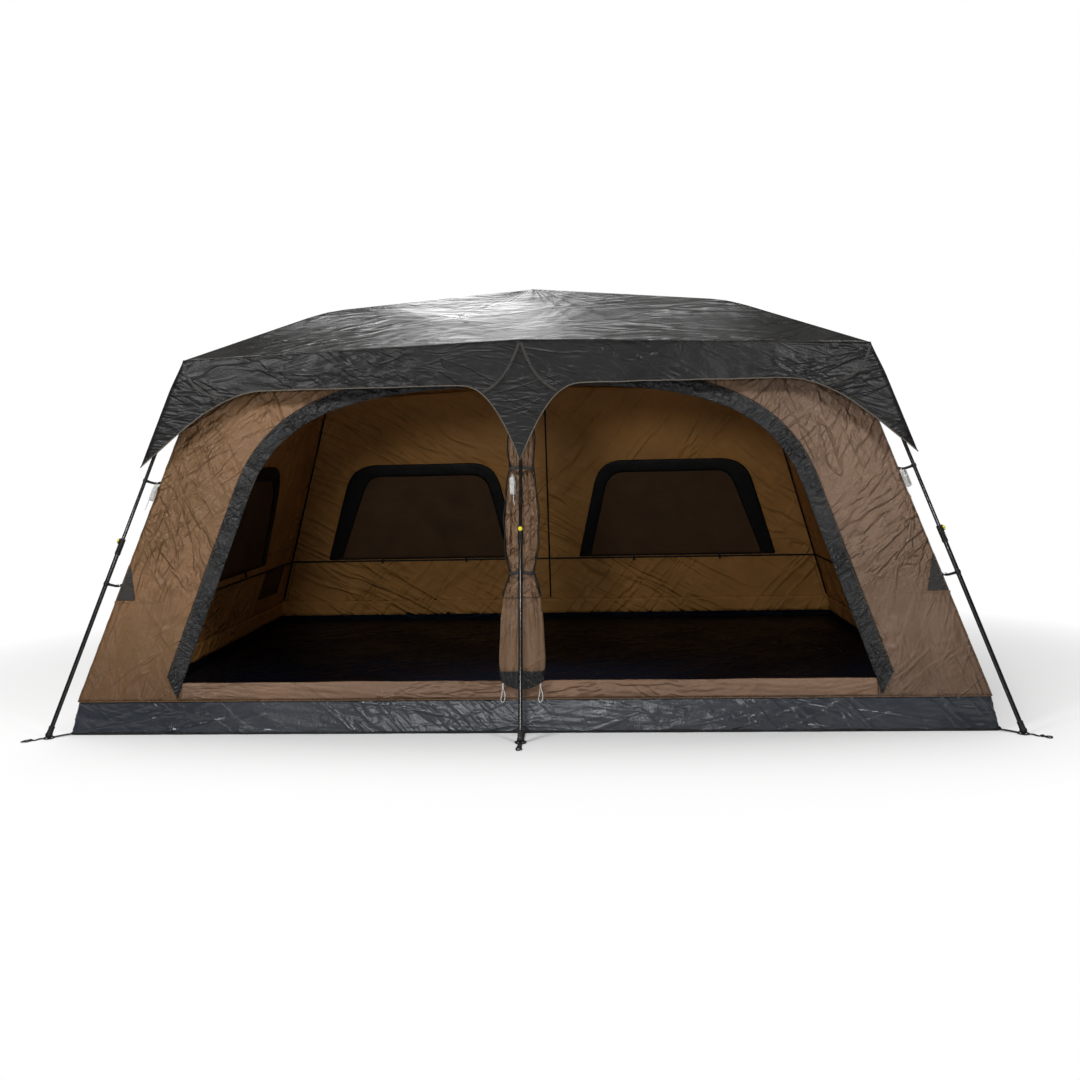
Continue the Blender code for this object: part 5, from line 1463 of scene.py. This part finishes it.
class TENT_OT_windows(bpy.types.Operator):
    """Make the windows: mesh and border inside, closed flap and zip outside, toggles, piping and pocket."""

    bl_idname = "tent.windows"
    bl_label = "Windows"

    def execute(self, context):
        band = context.scene.tent_sizes.window_band
        rear, side = window_ring(*REAR_WINDOW), window_ring(*SIDE_WINDOW)
        rear_in = inner_ring(REAR_WINDOW, REAR_BORDER, band)
        side_in = inner_ring(SIDE_WINDOW, SIDE_BORDER, band)

        def on_rear(a, z, lift):
            return np.stack([a, wall_y(z) + lift, z], axis=-1)

        def on_left(a, z, lift):
            return np.stack([-(wall_x(z) + lift), a, z], axis=-1)

        def on_right(a, z, lift):
            return np.stack([wall_x(z) + lift, a, z], axis=-1)

        self.window("rear_right", rear, rear_in, on_rear, (0, 1, 0))
        self.window("rear_left", rear * (-1, 1), rear_in * (-1, 1), on_rear, (0, 1, 0))
        self.window("side_left", side, side_in, on_left, (-1, 0, 0))
        self.window("side_right", side, side_in, on_right, (1, 0, 0))
        self.lining_piping()
        self.pocket()
        return {"FINISHED"}

    @staticmethod
    def window(name, ring, inner, place, outwards):
        """ring and inner are the border's outlines, and place puts (a, z, distance out) on the wall."""
        centre = ring.mean(axis=0)
        inwards = -np.asarray(outwards, dtype=float)
        shares = np.linspace(0.0, 1.0, 26)

        def filled(edge, lift):
            spots = centre + (edge - centre)[None] * shares[:, None, None]
            return place(spots[..., 0], spots[..., 1], lift(spots[..., 0], spots[..., 1], shares[:, None]))

        def slack(a, z, share):
            return -OVER_FOLDS - 0.0022 * ripple(a * 6, z * 6, 700) * (1 - share**4)

        def belly(a, z, share):
            wave = ripple(a * 4.1, z * 2.3, 720) + 0.5 * ripple(a * 11, z * 7, 721)
            pulls = creases(a * 6 + z * 3, z * 3, 722)
            return OVER_FOLDS + 0.0035 * (1 - share**3) * (wave + pulls) * (1 - share**6)

        mesh = filled(inner + (ring - inner) * 0.10, slack)
        piece = cloth_piece(f"window_mesh_{name}", mesh, ("netting",), 0.0005, inwards,
                            closed=True)

        rows = np.linspace(0.0, 1.0, 9)[:, None]
        spots = inner[None] + (ring - inner)[None] * rows[..., None]
        a, z = spots[..., 0], spots[..., 1]
        puffed = 0.0030 * (1 - (2 * rows - 1) ** 4) + 0.0016 * ripple(a * 14, z * 14, 710)
        border = place(a, z, -OVER_FOLDS - 0.0030 - puffed)
        piece = cloth_piece(f"window_border_{name}", border, ("zip",), 0.0010, inwards,
                            closed=True)

        reach = np.linalg.norm(ring - centre, axis=1, keepdims=True)
        flap = filled(centre + (ring - centre) * (1 - 0.018 / reach), belly)
        finish, axes = ("side_wall", [1, 2]) if outwards[0] else ("wall", [0, 2])
        piece = cloth_piece(f"window_flap_{name}", flap, (finish,), 0.0012, outwards,
                            closed=True, uv=flap[..., axes])

        path = place(ring[:, 0], ring[:, 1], OVER_FOLDS)
        tape = swept_mesh(path, rounded_bar(0.0110, 0.0022, 12), up=outwards, closed=True)
        solid_piece(f"window_zip_{name}", [tape], "zip")
        toggles = []
        barrel = ((0.0, 0.003), (0.002, 0.0065), (0.042, 0.0065), (0.044, 0.003))
        for share in TOGGLE_SHARES:
            a = float(ring[:, 0].min() + share * np.ptp(ring[:, 0]))
            spot = place(np.array([a]), np.array([float(ring[:, 1].min())]), -0.026)[0]
            toggles.append(turned(spot - UP * 0.030, UP, barrel, 14))
        solid_piece(f"window_toggles_{name}", toggles, "plastic")

    @staticmethod
    def lining_piping():
        """Black piping round the inside at the windows' sills, and up the rear wall's corners and middle."""
        level = LINING_LINE_HEIGHT
        inset = 0.010
        x, y = wall_x(level) - inset, wall_y(level) - inset
        line = evenly([(-x, -0.4, level), (-x, y, level), (x, y, level), (x, -0.4, level)], 0.02)
        parts = [swept_mesh(line, rounded_bar(0.0060, 0.0060, 10), up=UP)]
        z = np.linspace(FOOT_Z + 0.02, CORNER_TOP - 0.02, 40)
        for sx in (-1, 0, 1):
            path = np.stack([sx * (wall_x(z) - inset), wall_y(z) - inset, z], axis=1)
            parts.append(swept_mesh(path, circle(8, 0.0055)))
        solid_piece("lining_piping", parts, "zip")

    @staticmethod
    def pocket():
        """A pocket of netting inside the left wall, which bellies in its middle."""
        (near, far), (foot, top) = POCKET_Y, POCKET_Z
        a, z = np.meshgrid(np.linspace(near, far, 34), np.linspace(foot, top, 16))
        belly = np.sin(math.pi * (z - foot) / (top - foot)) * np.sin(math.pi * (a - near) / (far - near))
        grid = np.stack([-(wall_x(z) - (0.012 + 0.010 * belly)), a, z], axis=-1)
        piece = cloth_piece("side_pocket", grid, ("netting",), 0.0010, (1, 0, 0),
                            uv=grid[..., [1, 2]])


# Floor

TUB_STEPS = 760
# How far the tub and the lining's hem stand in at the tub's top
TUB_LEAN = 0.030
# The straps at the feet: half their width and thickness, and how far they run under the floor
STRAP_HALF = (0.0125, 0.0010)
STRAP_UNDER_FLOOR = 0.040
# The eyelet round a foot, and the stake loop beyond it with its two half axes
EYELET_RADIUS = 0.0215
STAKE_LOOP_AT = 0.098
STAKE_LOOP_HALF = (0.0165, 0.0115)


def round_tent(half_x, half_y, step):
    """A rounded rectangle round the tent, anticlockwise."""
    radius = 0.020
    corners = []
    for sx, sy, start in ((1, -1, -90), (1, 1, 0), (-1, 1, 90), (-1, -1, 180)):
        for k in range(5):
            angle = math.radians(start + 22.5 * k)
            corners.append((sx * (half_x - radius) + radius * math.cos(angle),
                            sy * (half_y - radius) + radius * math.sin(angle)))
    corners.append(corners[0])
    return evenly(corners, step)[:-1]


class TENT_OT_floor(bpy.types.Operator):
    """Make the floor tub, its hem and the webbing at the feet."""

    bl_idname = "tent.floor"
    bl_label = "Floor"

    def execute(self, context):
        sizes = context.scene.tent_sizes
        base = round_tent(FLOOR_X, FLOOR_Y, 2 * (2 * FLOOR_X + 2 * FLOOR_Y) / TUB_STEPS)
        reach = np.arange(len(base)) * (4 * (FLOOR_X + FLOOR_Y) / len(base))
        normal = np.where(np.abs(np.abs(base) - (FLOOR_X, FLOOR_Y)) < 0.012, np.sign(base), 0.0)
        normal = normal / np.maximum(np.linalg.norm(normal, axis=1, keepdims=True), 1e-9)
        self.tub(base, reach, normal)
        self.ground()
        self.lining_hem()
        self.tub_edges(base, reach, normal)
        self.webbing(sizes)
        return {"FINISHED"}

    @staticmethod
    def tub(base, reach, normal):
        """The tub's wall: slack between its two edges, and most creased in the middle of its long sides."""
        rows = []
        middle = np.exp(-(np.abs(base[:, 0]) / 0.9) ** 2)
        for z in np.linspace(0.003, TUB_HEIGHT, 17):
            share = z / TUB_HEIGHT
            free = math.sin(math.pi * share) ** 0.6
            wave = 0.0040 * ripple(reach / 0.42 + share * 1.3, share * 1.2 + 0 * reach, 800)
            wave += 0.0042 * (creases(reach / 0.30 + share * 2.6, share * 2.4 + reach * 0.8, 801, 5.0) - 0.2)
            wave += 0.0034 * middle * (creases(reach / 0.055 + 2 * share, share * 3.0, 802, 2.5) - 0.35)
            scale = 1.0 - TUB_LEAN * share / np.array((FLOOR_X, FLOOR_Y))
            spots = base * scale + normal * (free * wave)[:, None]
            rows.append(np.column_stack([spots, np.full(len(base), z)]))
        grid = np.stack(rows)
        u = np.broadcast_to(reach, grid.shape[:2])
        piece = cloth_piece("tub_wall", grid, ("tub", "floor"), 0.0022, closed=True,
                            uv=np.stack([u, grid[..., 2]], axis=-1), stands_for=("floor_tub",))

    @staticmethod
    def ground():
        """The floor sheet, with the humps and creases of cloth that lies on the ground."""
        x, y = np.meshgrid(np.linspace(-1, 1, 230) * (FLOOR_X - 0.006),
                           np.linspace(-1, 1, 160) * (FLOOR_Y - 0.006))
        z = 0.0058 + 0.0030 * ripple(x * 2.1, y * 2.1, 810)
        z += 0.0040 * creases(x * 2.6 + y, y * 3.4 - x, 811, 5.0)
        z += 0.0020 * creases(x * 7, y * 7, 812, 3.0)
        edge = np.minimum(np.minimum(FLOOR_X - np.abs(x), FLOOR_Y - np.abs(y)) / 0.05, 1.0)
        grid = np.stack([x, y, np.maximum(0.0035 + (z - 0.0035) * edge, 0.0033)], axis=-1)
        piece = cloth_piece("tub_floor", grid, ("floor",), 0.0012, UP, uv=grid[..., :2])

    @staticmethod
    def lining_hem():
        """The body's brown cloth inside the tub, at the rear and the sides."""
        level = np.linspace(0.045, 0.158, 6)[:, None, None]
        lined = round_tent(1.0, 1.0, 0.008)
        lined = lined[lined[:, 1] > -0.9]
        lined = np.vstack([lined[lined[:, 0] > 0], lined[lined[:, 0] <= 0]])
        spots = lined[None] * (np.array((FLOOR_X, FLOOR_Y)) - (0.012 + TUB_LEAN * level / TUB_HEIGHT))
        grid = np.concatenate([spots, np.broadcast_to(level, (*spots.shape[:2], 1))], axis=-1)
        piece = cloth_piece("lining_hem", grid, ("lining",), 0.0010, uv=grid[..., [0, 2]])

    @staticmethod
    def tub_edges(base, reach, normal):
        """The lumpy hem under the tub, and the brown seam along its top."""
        lumps = 0.0045 + 0.0018 * ripple(reach / 0.09, 0 * reach, 820)
        lumps += 0.0022 * creases(reach / 0.33, 0 * reach, 821, 6)
        lumps = np.clip(lumps, 0.0032, 0.0085)
        hem = np.column_stack([base - normal * 0.001, lumps])
        section = circle(10)[None] * lumps[:, None, None] * (1.25, 1.0)
        solid_piece("tub_hem", [swept_mesh(hem, section, up=UP, closed=True)], "zip")
        top = round_tent(FLOOR_X - 0.028, FLOOR_Y - 0.028, 0.02)
        seam = np.column_stack([top, np.full(len(top), TUB_HEIGHT + 0.0005)])
        seam = swept_mesh(seam, circle(8, 0.0026), up=UP, closed=True)
        solid_piece("tub_top_seam", [seam], "wall")

    @staticmethod
    def webbing(sizes):
        """At each foot: a strap from the tub's edge, a ring of webbing round the foot and a stake loop."""
        parts, sewn = [], []
        bar = rounded_bar(*STRAP_HALF, 12, 0.35)
        turns = np.linspace(0.0, 2 * math.pi, 40, endpoint=False)
        for arm in ARMS.values():
            foot = arm.on_leg(LEG_LENGTH)
            ground = np.array((foot[0], foot[1], 0.0))
            seam = np.array((np.clip(foot[0], -FLOOR_X, FLOOR_X), np.clip(foot[1], -FLOOR_Y, FLOOR_Y), 0.0))
            run = np.linalg.norm(ground - seam)
            ahead = (ground - seam) / run
            aside = np.cross(UP, ahead)

            def ring(centre, long, wide, height):
                rim = np.cos(turns)[:, None] * ahead * long + np.sin(turns)[:, None] * aside * wide
                return centre + rim + np.reshape(height, (-1, 1)) * UP

            start = -run - STRAP_UNDER_FLOOR
            lift = 0.0030 + 0.0024 * np.sin(np.linspace(0, math.pi, 24))
            strap = ground + np.linspace(start, -0.019, 24)[:, None] * ahead + lift[:, None] * UP
            parts.append(swept_mesh(strap, bar, up=UP))
            eyelet = ring(ground, EYELET_RADIUS, EYELET_RADIUS, 0.0034)
            parts.append(swept_mesh(eyelet, rounded_bar(0.0050, 0.0022, 10), up=UP, closed=True))
            lift = 0.0035 + 0.0018 * np.sin(np.linspace(0, 2.2 * math.pi, 12))
            tail = ground + np.linspace(0.026, 0.075, 12)[:, None] * ahead + lift[:, None] * UP
            parts.append(swept_mesh(tail, bar * (0.8, 1.0), up=UP))
            knot = ((0.070, 0.0), (0.076, 0.008), (0.082, 0.0), (0.076, -0.008), (0.070, 0.0))
            knot = smooth_path([ground + a * ahead + b * aside + 0.0052 * UP for a, b in knot], 6)
            parts.append(swept_mesh(knot, circle(8, 0.0042)))
            lift = 0.0042 + 0.0012 * np.sin(2 * turns)
            stake_loop = ring(ground + STAKE_LOOP_AT * ahead, *STAKE_LOOP_HALF, lift)
            parts.append(swept_mesh(stake_loop, rounded_bar(0.0032, 0.0026, 10), up=UP, closed=True))
            for shift in (-0.007, 0.007):
                line = np.linspace(start + 0.030, -0.030, 12)[:, None] * ahead
                sewn.append(ground + line + aside * shift + 0.0062 * UP)
        solid_piece("foot_webbing", parts, "webbing")
        stitches("foot_webbing_stitches", sewn, sizes.stitch * 0.7, 0.0005)


# Frame

BUTTON_SIDE = 0.0040
BUTTON_DOME = 0.0052
BOOT_LENGTH = 0.034
BOOT_WALL = 0.0031
GROOVE_DEPTH = 0.0008
# A clip's height from its middle, its wall, and the half angle of its mouth
CLIP_HALF_HEIGHT = 0.0080
CLIP_WALL = 0.0030
CLIP_MOUTH = math.radians(35.0)


def body_of(node):
    """The body that a construction node belongs to."""
    return next(body for body, nodes in frame["record"]["behaviour"]["bodies"].items() if node in nodes)


def dressed(node, name, body, finish):
    """A smooth-shaded copy of a construction piece, in its finish."""
    bm = bmesh.new()
    bm.from_mesh(frame["nodes"][node].data)
    bmesh.ops.remove_doubles(bm, verts=bm.verts, dist=1e-5)
    bmesh.ops.dissolve_limit(bm, angle_limit=math.radians(1.0), verts=bm.verts, edges=bm.edges)
    mesh = bpy.data.meshes.new(name)
    bm.to_mesh(mesh)
    bm.free()
    mesh.shade_smooth()
    mesh.set_sharp_from_angle(angle=math.radians(40.0))
    piece = new_object(name, mesh, skin(finish))
    bevel = piece.modifiers.new("edges", "BEVEL")
    bevel.width = 0.0006
    bevel.segments = 2
    bevel.limit_method = "ANGLE"
    bevel.angle_limit = math.radians(45.0)
    return ride(settled(piece), body, (node,))


class TENT_OT_frame(bpy.types.Operator):
    """Make the frame: hub, arms, telescoping legs with their lock collars and buttons, and feet."""

    bl_idname = "tent.frame"
    bl_label = "Frame"

    def execute(self, context):
        dressed("hub", "hub_moulding", "root", "plastic")
        for label, arm in ARMS.items():
            for kind in ("inner_arm", "outer_arm", "upper_leg"):
                node = f"{kind}_{label}"
                dressed(node, f"{kind}_tube_{label}", body_of(node), "steel")
            self.lower_leg(label, arm)
            self.button(label, arm)
            self.foot(label, arm)
        return {"FINISHED"}

    @staticmethod
    def lower_leg(label, arm):
        """The lower tube with its moulded collar above it, and the grip rings round the collar."""
        body = body_of(f"lower_leg_{label}")
        piece = dressed(f"lower_leg_{label}", f"lower_tube_{label}", body, "steel")
        piece.data.materials.append(skin("plastic"))
        end = COLLAR_AT + COLLAR_LENGTH + 0.0005
        for face in piece.data.polygons:
            face.material_index = int((np.array(face.center) - arm.on_leg(0.0)) @ arm.leg < end)
        low, high = COLLAR_RADIUS - 0.0010, COLLAR_RADIUS + 0.0008
        profile = ((0.0, low), (0.0006, high), (0.0022, high), (0.0028, low))
        rings = [ring_part(arm.on_leg(COLLAR_AT + 0.040 + k * 0.0050), arm.leg, profile) for k in range(6)]
        solid_piece(f"grip_rings_{label}", rings, "plastic", body, sharp=60.0)

    @staticmethod
    def button(label, arm):
        """A domed button with a rounded rim where it meets the collar."""
        side = BUTTON_SEAT + BUTTON_SIDE
        profile = [(BUTTON_SEAT, 0.0), (BUTTON_SEAT, BUTTON_RADIUS - 0.0004),
                   (BUTTON_SEAT + 0.0004, BUTTON_RADIUS), (side, BUTTON_RADIUS)]
        for k in range(1, 9):
            turn = math.pi / 2 * k / 8
            profile.append((side + BUTTON_DOME * math.sin(turn), BUTTON_RADIUS * math.cos(turn) ** 0.8))
        dome = turned(arm.on_leg(BUTTON_AT), arm.leg_out, profile, 32)
        solid_piece(f"lock_button_{label}", [dome], "button", body_of(f"button_{label}"),
                    (f"button_{label}",))

    @staticmethod
    def foot(label, arm):
        """A ball with a grooved sleeve that is pushed over the tube's end."""
        sleeve = LOWER_TUBE_RADIUS + BOOT_WALL
        groove = sleeve - GROOVE_DEPTH
        start = LEG_LENGTH - FOOT_RADIUS / 2 - BOOT_LENGTH
        profile = [(start, LOWER_TUBE_RADIUS + 0.0003), (start, groove), (start + 0.001, sleeve)]
        first = math.atan2(sleeve, -math.sqrt(FOOT_RADIUS**2 - sleeve**2))
        for k in range(3):
            at = start + 0.006 + k * 0.006
            profile += [(at, sleeve), (at + 0.001, groove), (at + 0.002, groove), (at + 0.003, sleeve)]
        for k in range(14):
            turn = first * (1 - k / 13)
            profile.append((LEG_LENGTH + FOOT_RADIUS * math.cos(turn), FOOT_RADIUS * math.sin(turn)))
        boot = turned(arm.on_leg(0.0), arm.leg, profile, 32)
        solid_piece(f"foot_boot_{label}", [boot], "plastic", body_of(f"foot_{label}"),
                    (f"foot_{label}",))


class TENT_OT_clips(bpy.types.Operator):
    """Make the wall clips on the legs and the straps that join them to the walls."""

    bl_idname = "tent.clips"
    bl_label = "Clips"

    def execute(self, context):
        straps, toggles = [], []
        bar = ((-0.016, 0.002), (-0.014, 0.0034), (0.014, 0.0034), (0.016, 0.002))
        for label, arm in ARMS.items():
            low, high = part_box(f"upper_clip_{label}")
            upper = float(low[2] + high[2]) / 2 + 0.001
            for kind, radius, height in (("upper_clip", UPPER_TUBE_RADIUS, upper),
                                         ("lower_clip", LOWER_TUBE_RADIUS, LOWER_CLIP_HEIGHT)):
                at = arm.at_height(height)
                self.clip(kind, label, arm, at, radius)
                start = arm.on_leg(at, -(radius + 0.0118))
                if arm.corner:
                    end = np.sign(arm.radial) * (wall_x(height) - 0.004, wall_y(height) + 0.003, 0.0)
                else:
                    end = np.sign(arm.radial) * (0.0, wall_y(height) + 0.050, 0.0)
                end = end + UP * (height - 0.012)
                middle = (start + end) / 2 - UP * 0.006
                strap = rounded_bar(0.0060, 0.0010, 10)
                straps.append(swept_mesh(smooth_path([start, middle, end]), strap, up=arm.side))
                if arm.corner and kind == "lower_clip":
                    toggles.append(turned(middle + UP * 0.006 - arm.radial * 0.008, arm.side, bar, 14))
        solid_piece("clip_straps", straps, "webbing")
        solid_piece("clip_toggles", toggles, "toggle")
        return {"FINISHED"}

    @staticmethod
    def clip(kind, label, arm, at, radius):
        """A C-shaped snap clip with a tab towards the wall."""
        bore = radius + 0.0003
        outer = bore + CLIP_WALL
        middle = (bore + outer) / 2
        section = rounded_bar(CLIP_HALF_HEIGHT, CLIP_WALL / 2, 16, 0.4)
        rings = []
        for turn in np.linspace(CLIP_MOUTH, 2 * math.pi - CLIP_MOUTH, 34):
            out, aside = math.cos(turn), math.sin(turn)
            rings.append([arm.on_leg(at + u, (middle + v) * out, (middle + v) * aside) for u, v in section])
        path = [arm.on_leg(at, -(outer + reach)) for reach in (-0.001, 0.004, 0.0085)]
        parts = [tube(np.array(rings)), swept_mesh(path, rounded_bar(0.0020, 0.0064, 14, 0.5), up=arm.leg)]
        solid_piece(f"{kind}_moulding_{label}", parts, "plastic", body_of(f"{kind}_{label}"),
                    (f"{kind}_{label}",))


# Guy ropes

HANK_TURNS = 6
HANK_TURN_STEPS = 24
# Radius of a hank's outer turns, and half the length of their straight runs
HANK_END = 0.0115
HANK_STRAIGHT = 0.029
HANK_HALF_WIDTH = 0.0100
# The binding's half axes and lowest turn, and the hanging ring, both measured from the hank's middle
BINDING_HALF = (0.0148, 0.0118)
BINDING_AT = 0.006
HANGING_RING_AT = 0.046
HANGING_RING_RADIUS = 0.007


class TENT_OT_guy_ropes(bpy.types.Operator):
    """Make the three guy ropes, each wound into a hank that hangs beside its leg."""

    bl_idname = "tent.guy_ropes"
    bl_label = "Guy ropes"

    def execute(self, context):
        for label in ("front_left", "front_right", "front_mid"):
            spots = np.array([vertex.co for vertex in frame["nodes"][f"rope_hank_{label}"].data.vertices])
            centre = (spots.min(axis=0) + spots.max(axis=0)) / 2
            _, _, (up, wide, thick) = np.linalg.svd(spots - spots.mean(axis=0), full_matrices=False)
            self.hank(label, centre, up * np.sign(up[2]), wide, thick, context.scene.tent_sizes.rope)
        return {"FINISHED"}

    @staticmethod
    def hank(label, centre, up, wide, thick, diameter):
        """A rope wound in two layers of long turns, with a binding, a hanging ring and a short free end."""
        route = []
        across = np.linspace(-1.0, 1.0, HANK_TURNS) * (HANK_HALF_WIDTH - diameter / 2)
        for layer, side in ((HANK_END, 1), (HANK_END - diameter, -1)):
            step = (across[1] - across[0]) * side
            for k in range(HANK_TURNS):
                for j in range(HANK_TURN_STEPS):
                    angle = 2 * math.pi * j / HANK_TURN_STEPS
                    v = layer * math.sin(angle) + (HANK_STRAIGHT if math.sin(angle) >= 0 else -HANK_STRAIGHT)
                    shift = across[k] * side + step * j / HANK_TURN_STEPS * (k < HANK_TURNS - 1)
                    route.append(centre + up * v + wide * (layer * math.cos(angle)) + thick * shift)
        tail = [route[-1] + wide * w - up * v for w, v in ((0.004, 0.010), (0.002, 0.040), (-0.004, 0.062))]
        path = evenly(smooth_path(np.vstack([route, tail]), 3), 0.0030)
        wound = swept_mesh(path, circle(8, diameter / 2))
        rope = solid_piece(f"guy_rope_{label}", [wound], "rope",
                           stands_for=(f"rope_hank_{label}",))
        bound = []
        angle = np.linspace(0, 2 * math.pi, 28, endpoint=False)[:, None]
        for k in range(4):
            ring = centre + up * (BINDING_AT + k * diameter)
            ring = ring + np.cos(angle) * wide * BINDING_HALF[0] + np.sin(angle) * thick * BINDING_HALF[1]
            bound.append(swept_mesh(ring, circle(8, diameter / 2), closed=True))
        angle = np.linspace(0, 2 * math.pi, 24, endpoint=False)[:, None]
        ring = centre + up * HANGING_RING_AT
        ring = ring + HANGING_RING_RADIUS * (np.cos(angle) * up + np.sin(angle) * wide)
        bound.append(swept_mesh(ring, circle(8, 0.0016), closed=True))
        solid_piece(f"rope_binding_{label}", bound, "rope")


# Stage

# Each lamp's place, what it points at, its width and depth in metres, and its power in watts
LAMPS = {
    "key_left": ((-2.7, -3.2, 4.4), (-0.8, -1.2, 1.0), 0.8, 0.8, 92.0),
    "key_right": ((2.9, -3.4, 4.3), (0.8, -1.2, 1.0), 0.8, 0.8, 70.0),
    "front": ((-0.6, -7.5, 1.9), (0.0, 0.0, 0.8), 1.1, 0.6, 76.0),
    "overhead": ((-0.6, 1.4, 8.5), (0.0, 0.0, 0.0), 3.2, 3.2, 430.0),
    "ridge": ((-1.15, 6.4, 5.8), (-0.2, -0.3, 2.1), 1.9, 1.9, 74.0),
}
FLOOR_SIZE = 40.0
EYE = (0.3371, -5.7716, 1.2694)
EYE_YAW = math.radians(-3.24)
EYE_PITCH = math.radians(-5.17)
EYE_ROLL = math.radians(-1.22)
LENS = 31.75
# The surround's strength where it lights the tent, in reflections, and where the camera sees it
SURROUND_LIGHT = 0.24
SURROUND_GLOSS = 0.06
SURROUND_SEEN = 1.0


def grey(level):
    return (level, level, level, 1.0)


class TENT_OT_stage(bpy.types.Operator):
    """Set the floor, soft lights and camera."""

    bl_idname = "tent.stage"
    bl_label = "Stage"

    def execute(self, context):
        scene = context.scene
        scene.view_settings.view_transform = "Standard"
        self.camera(scene)
        self.floor()
        self.world(scene)
        for name, (place, target, wide, deep, power) in LAMPS.items():
            data = bpy.data.lights.new(name, "AREA")
            data.shape = "RECTANGLE"
            data.size = wide
            data.size_y = deep
            data.energy = power
            lamp = new_object(name, data)
            lamp.location = place
            lamp.rotation_euler = (Vector(target) - Vector(place)).to_track_quat("-Z", "Y").to_euler()
        return {"FINISHED"}

    @staticmethod
    def camera(scene):
        """Placed from the tent's corners in the picture: right of its middle and tilted slightly down."""
        data = bpy.data.cameras.new("camera")
        data.lens = LENS
        data.sensor_width = 36.0
        eye = new_object("camera", data)
        turn = Matrix.Rotation(-EYE_YAW, 4, "Z") @ Matrix.Rotation(math.pi / 2 + EYE_PITCH, 4, "X")
        eye.matrix_world = Matrix.Translation(EYE) @ turn @ Matrix.Rotation(EYE_ROLL, 4, "Z")
        scene.camera = eye

    @staticmethod
    def floor():
        """A pale matt floor that takes the tent's shadow, and is plain white further away."""
        made, tree, shader, coords = fresh_material("white_studio_floor")
        tree.nodes.remove(shader)
        seen = add(tree, "ShaderNodeLightPath", {}).outputs["Is Camera Ray"]
        pale = add(tree, "ShaderNodeMix", {0: seen, 6: grey(0.5), 7: grey(0.82)}, data_type="RGBA")
        matt = add(tree, "ShaderNodeBsdfDiffuse", {"Color": pale.outputs[2]})
        oval = add(tree, "ShaderNodeVectorMath", {0: coords["Object"], 1: (0.66, 1.0, 1.0)},
                   operation="MULTIPLY")
        away = add(tree, "ShaderNodeVectorMath", {0: oval.outputs[0]}, operation="LENGTH").outputs["Value"]
        far = add(tree, "ShaderNodeMapRange", {0: away, 1: 1.75, 2: 2.65}).outputs[0]
        glow = add(tree, "ShaderNodeEmission", {"Color": grey(1.0), "Strength": 1.0})
        share = add(tree, "ShaderNodeMath", {0: far, 1: seen}, operation="MULTIPLY")
        both = add(tree, "ShaderNodeMixShader", {0: share.outputs[0], 1: matt.outputs[0], 2: glow.outputs[0]})
        feed(tree, tree.nodes["Material Output"], {"Surface": both.outputs[0]})
        mesh = bpy.data.meshes.new("studio_floor")
        corners = [(x * FLOOR_SIZE, y * FLOOR_SIZE, 0) for x, y in ((-1, -1), (1, -1), (1, 1), (-1, 1))]
        mesh.from_pydata(corners, [], [(0, 1, 2, 3)])
        new_object("studio_floor", mesh, made)

    @staticmethod
    def world(scene):
        """A plain white surround, dimmer where it lights the tent than where the camera sees it."""
        world = bpy.data.worlds.new("studio")
        world.use_nodes = True
        scene.world = world
        tree = world.node_tree
        rays = add(tree, "ShaderNodeLightPath", {}).outputs
        lit = {0: rays["Is Glossy Ray"], 3: SURROUND_LIGHT, 4: SURROUND_GLOSS}
        soft = add(tree, "ShaderNodeMapRange", lit).outputs[0]
        strength = add(tree, "ShaderNodeMix", {0: rays["Is Camera Ray"], 2: soft, 3: SURROUND_SEEN})
        feed(tree, tree.nodes["Background"], {"Color": grey(1.0), "Strength": strength.outputs[0]})


OPERATORS = (
    TENT_OT_stage,
    TENT_OT_guy_ropes,
    TENT_OT_fly,
    TENT_OT_ceiling,
    TENT_OT_walls,
    TENT_OT_doors,
    TENT_OT_windows,
    TENT_OT_floor,
    TENT_OT_frame,
    TENT_OT_clips,
)


class TENT_PT_panel(bpy.types.Panel):
    """Lists the tent's pieces, with their sizes and colours."""

    bl_idname = "TENT_PT_panel"
    bl_label = "Cabin tent"
    bl_space_type = "VIEW_3D"
    bl_region_type = "UI"
    bl_category = "Tent"

    def draw(self, context):
        for operator in OPERATORS:
            self.layout.operator(operator.bl_idname)
        for group in (context.scene.tent_sizes, context.scene.tent_colours):
            box = self.layout.box()
            for name in group.__annotations__:
                box.prop(group, name)


CLASSES = (TentColours, TentSizes, *OPERATORS, TENT_PT_panel)


def register():
    for kind in CLASSES:
        bpy.utils.register_class(kind)
    bpy.types.Scene.tent_colours = bpy.props.PointerProperty(type=TentColours)
    bpy.types.Scene.tent_sizes = bpy.props.PointerProperty(type=TentSizes)


def unregister():
    del bpy.types.Scene.tent_sizes
    del bpy.types.Scene.tent_colours
    for kind in reversed(CLASSES):
        bpy.utils.unregister_class(kind)


def main():
    register()
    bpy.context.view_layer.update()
    for operator in OPERATORS:
        group, name = operator.bl_idname.split(".")
        getattr(getattr(bpy.ops, group), name)()


if __name__ == "__main__":
    main()
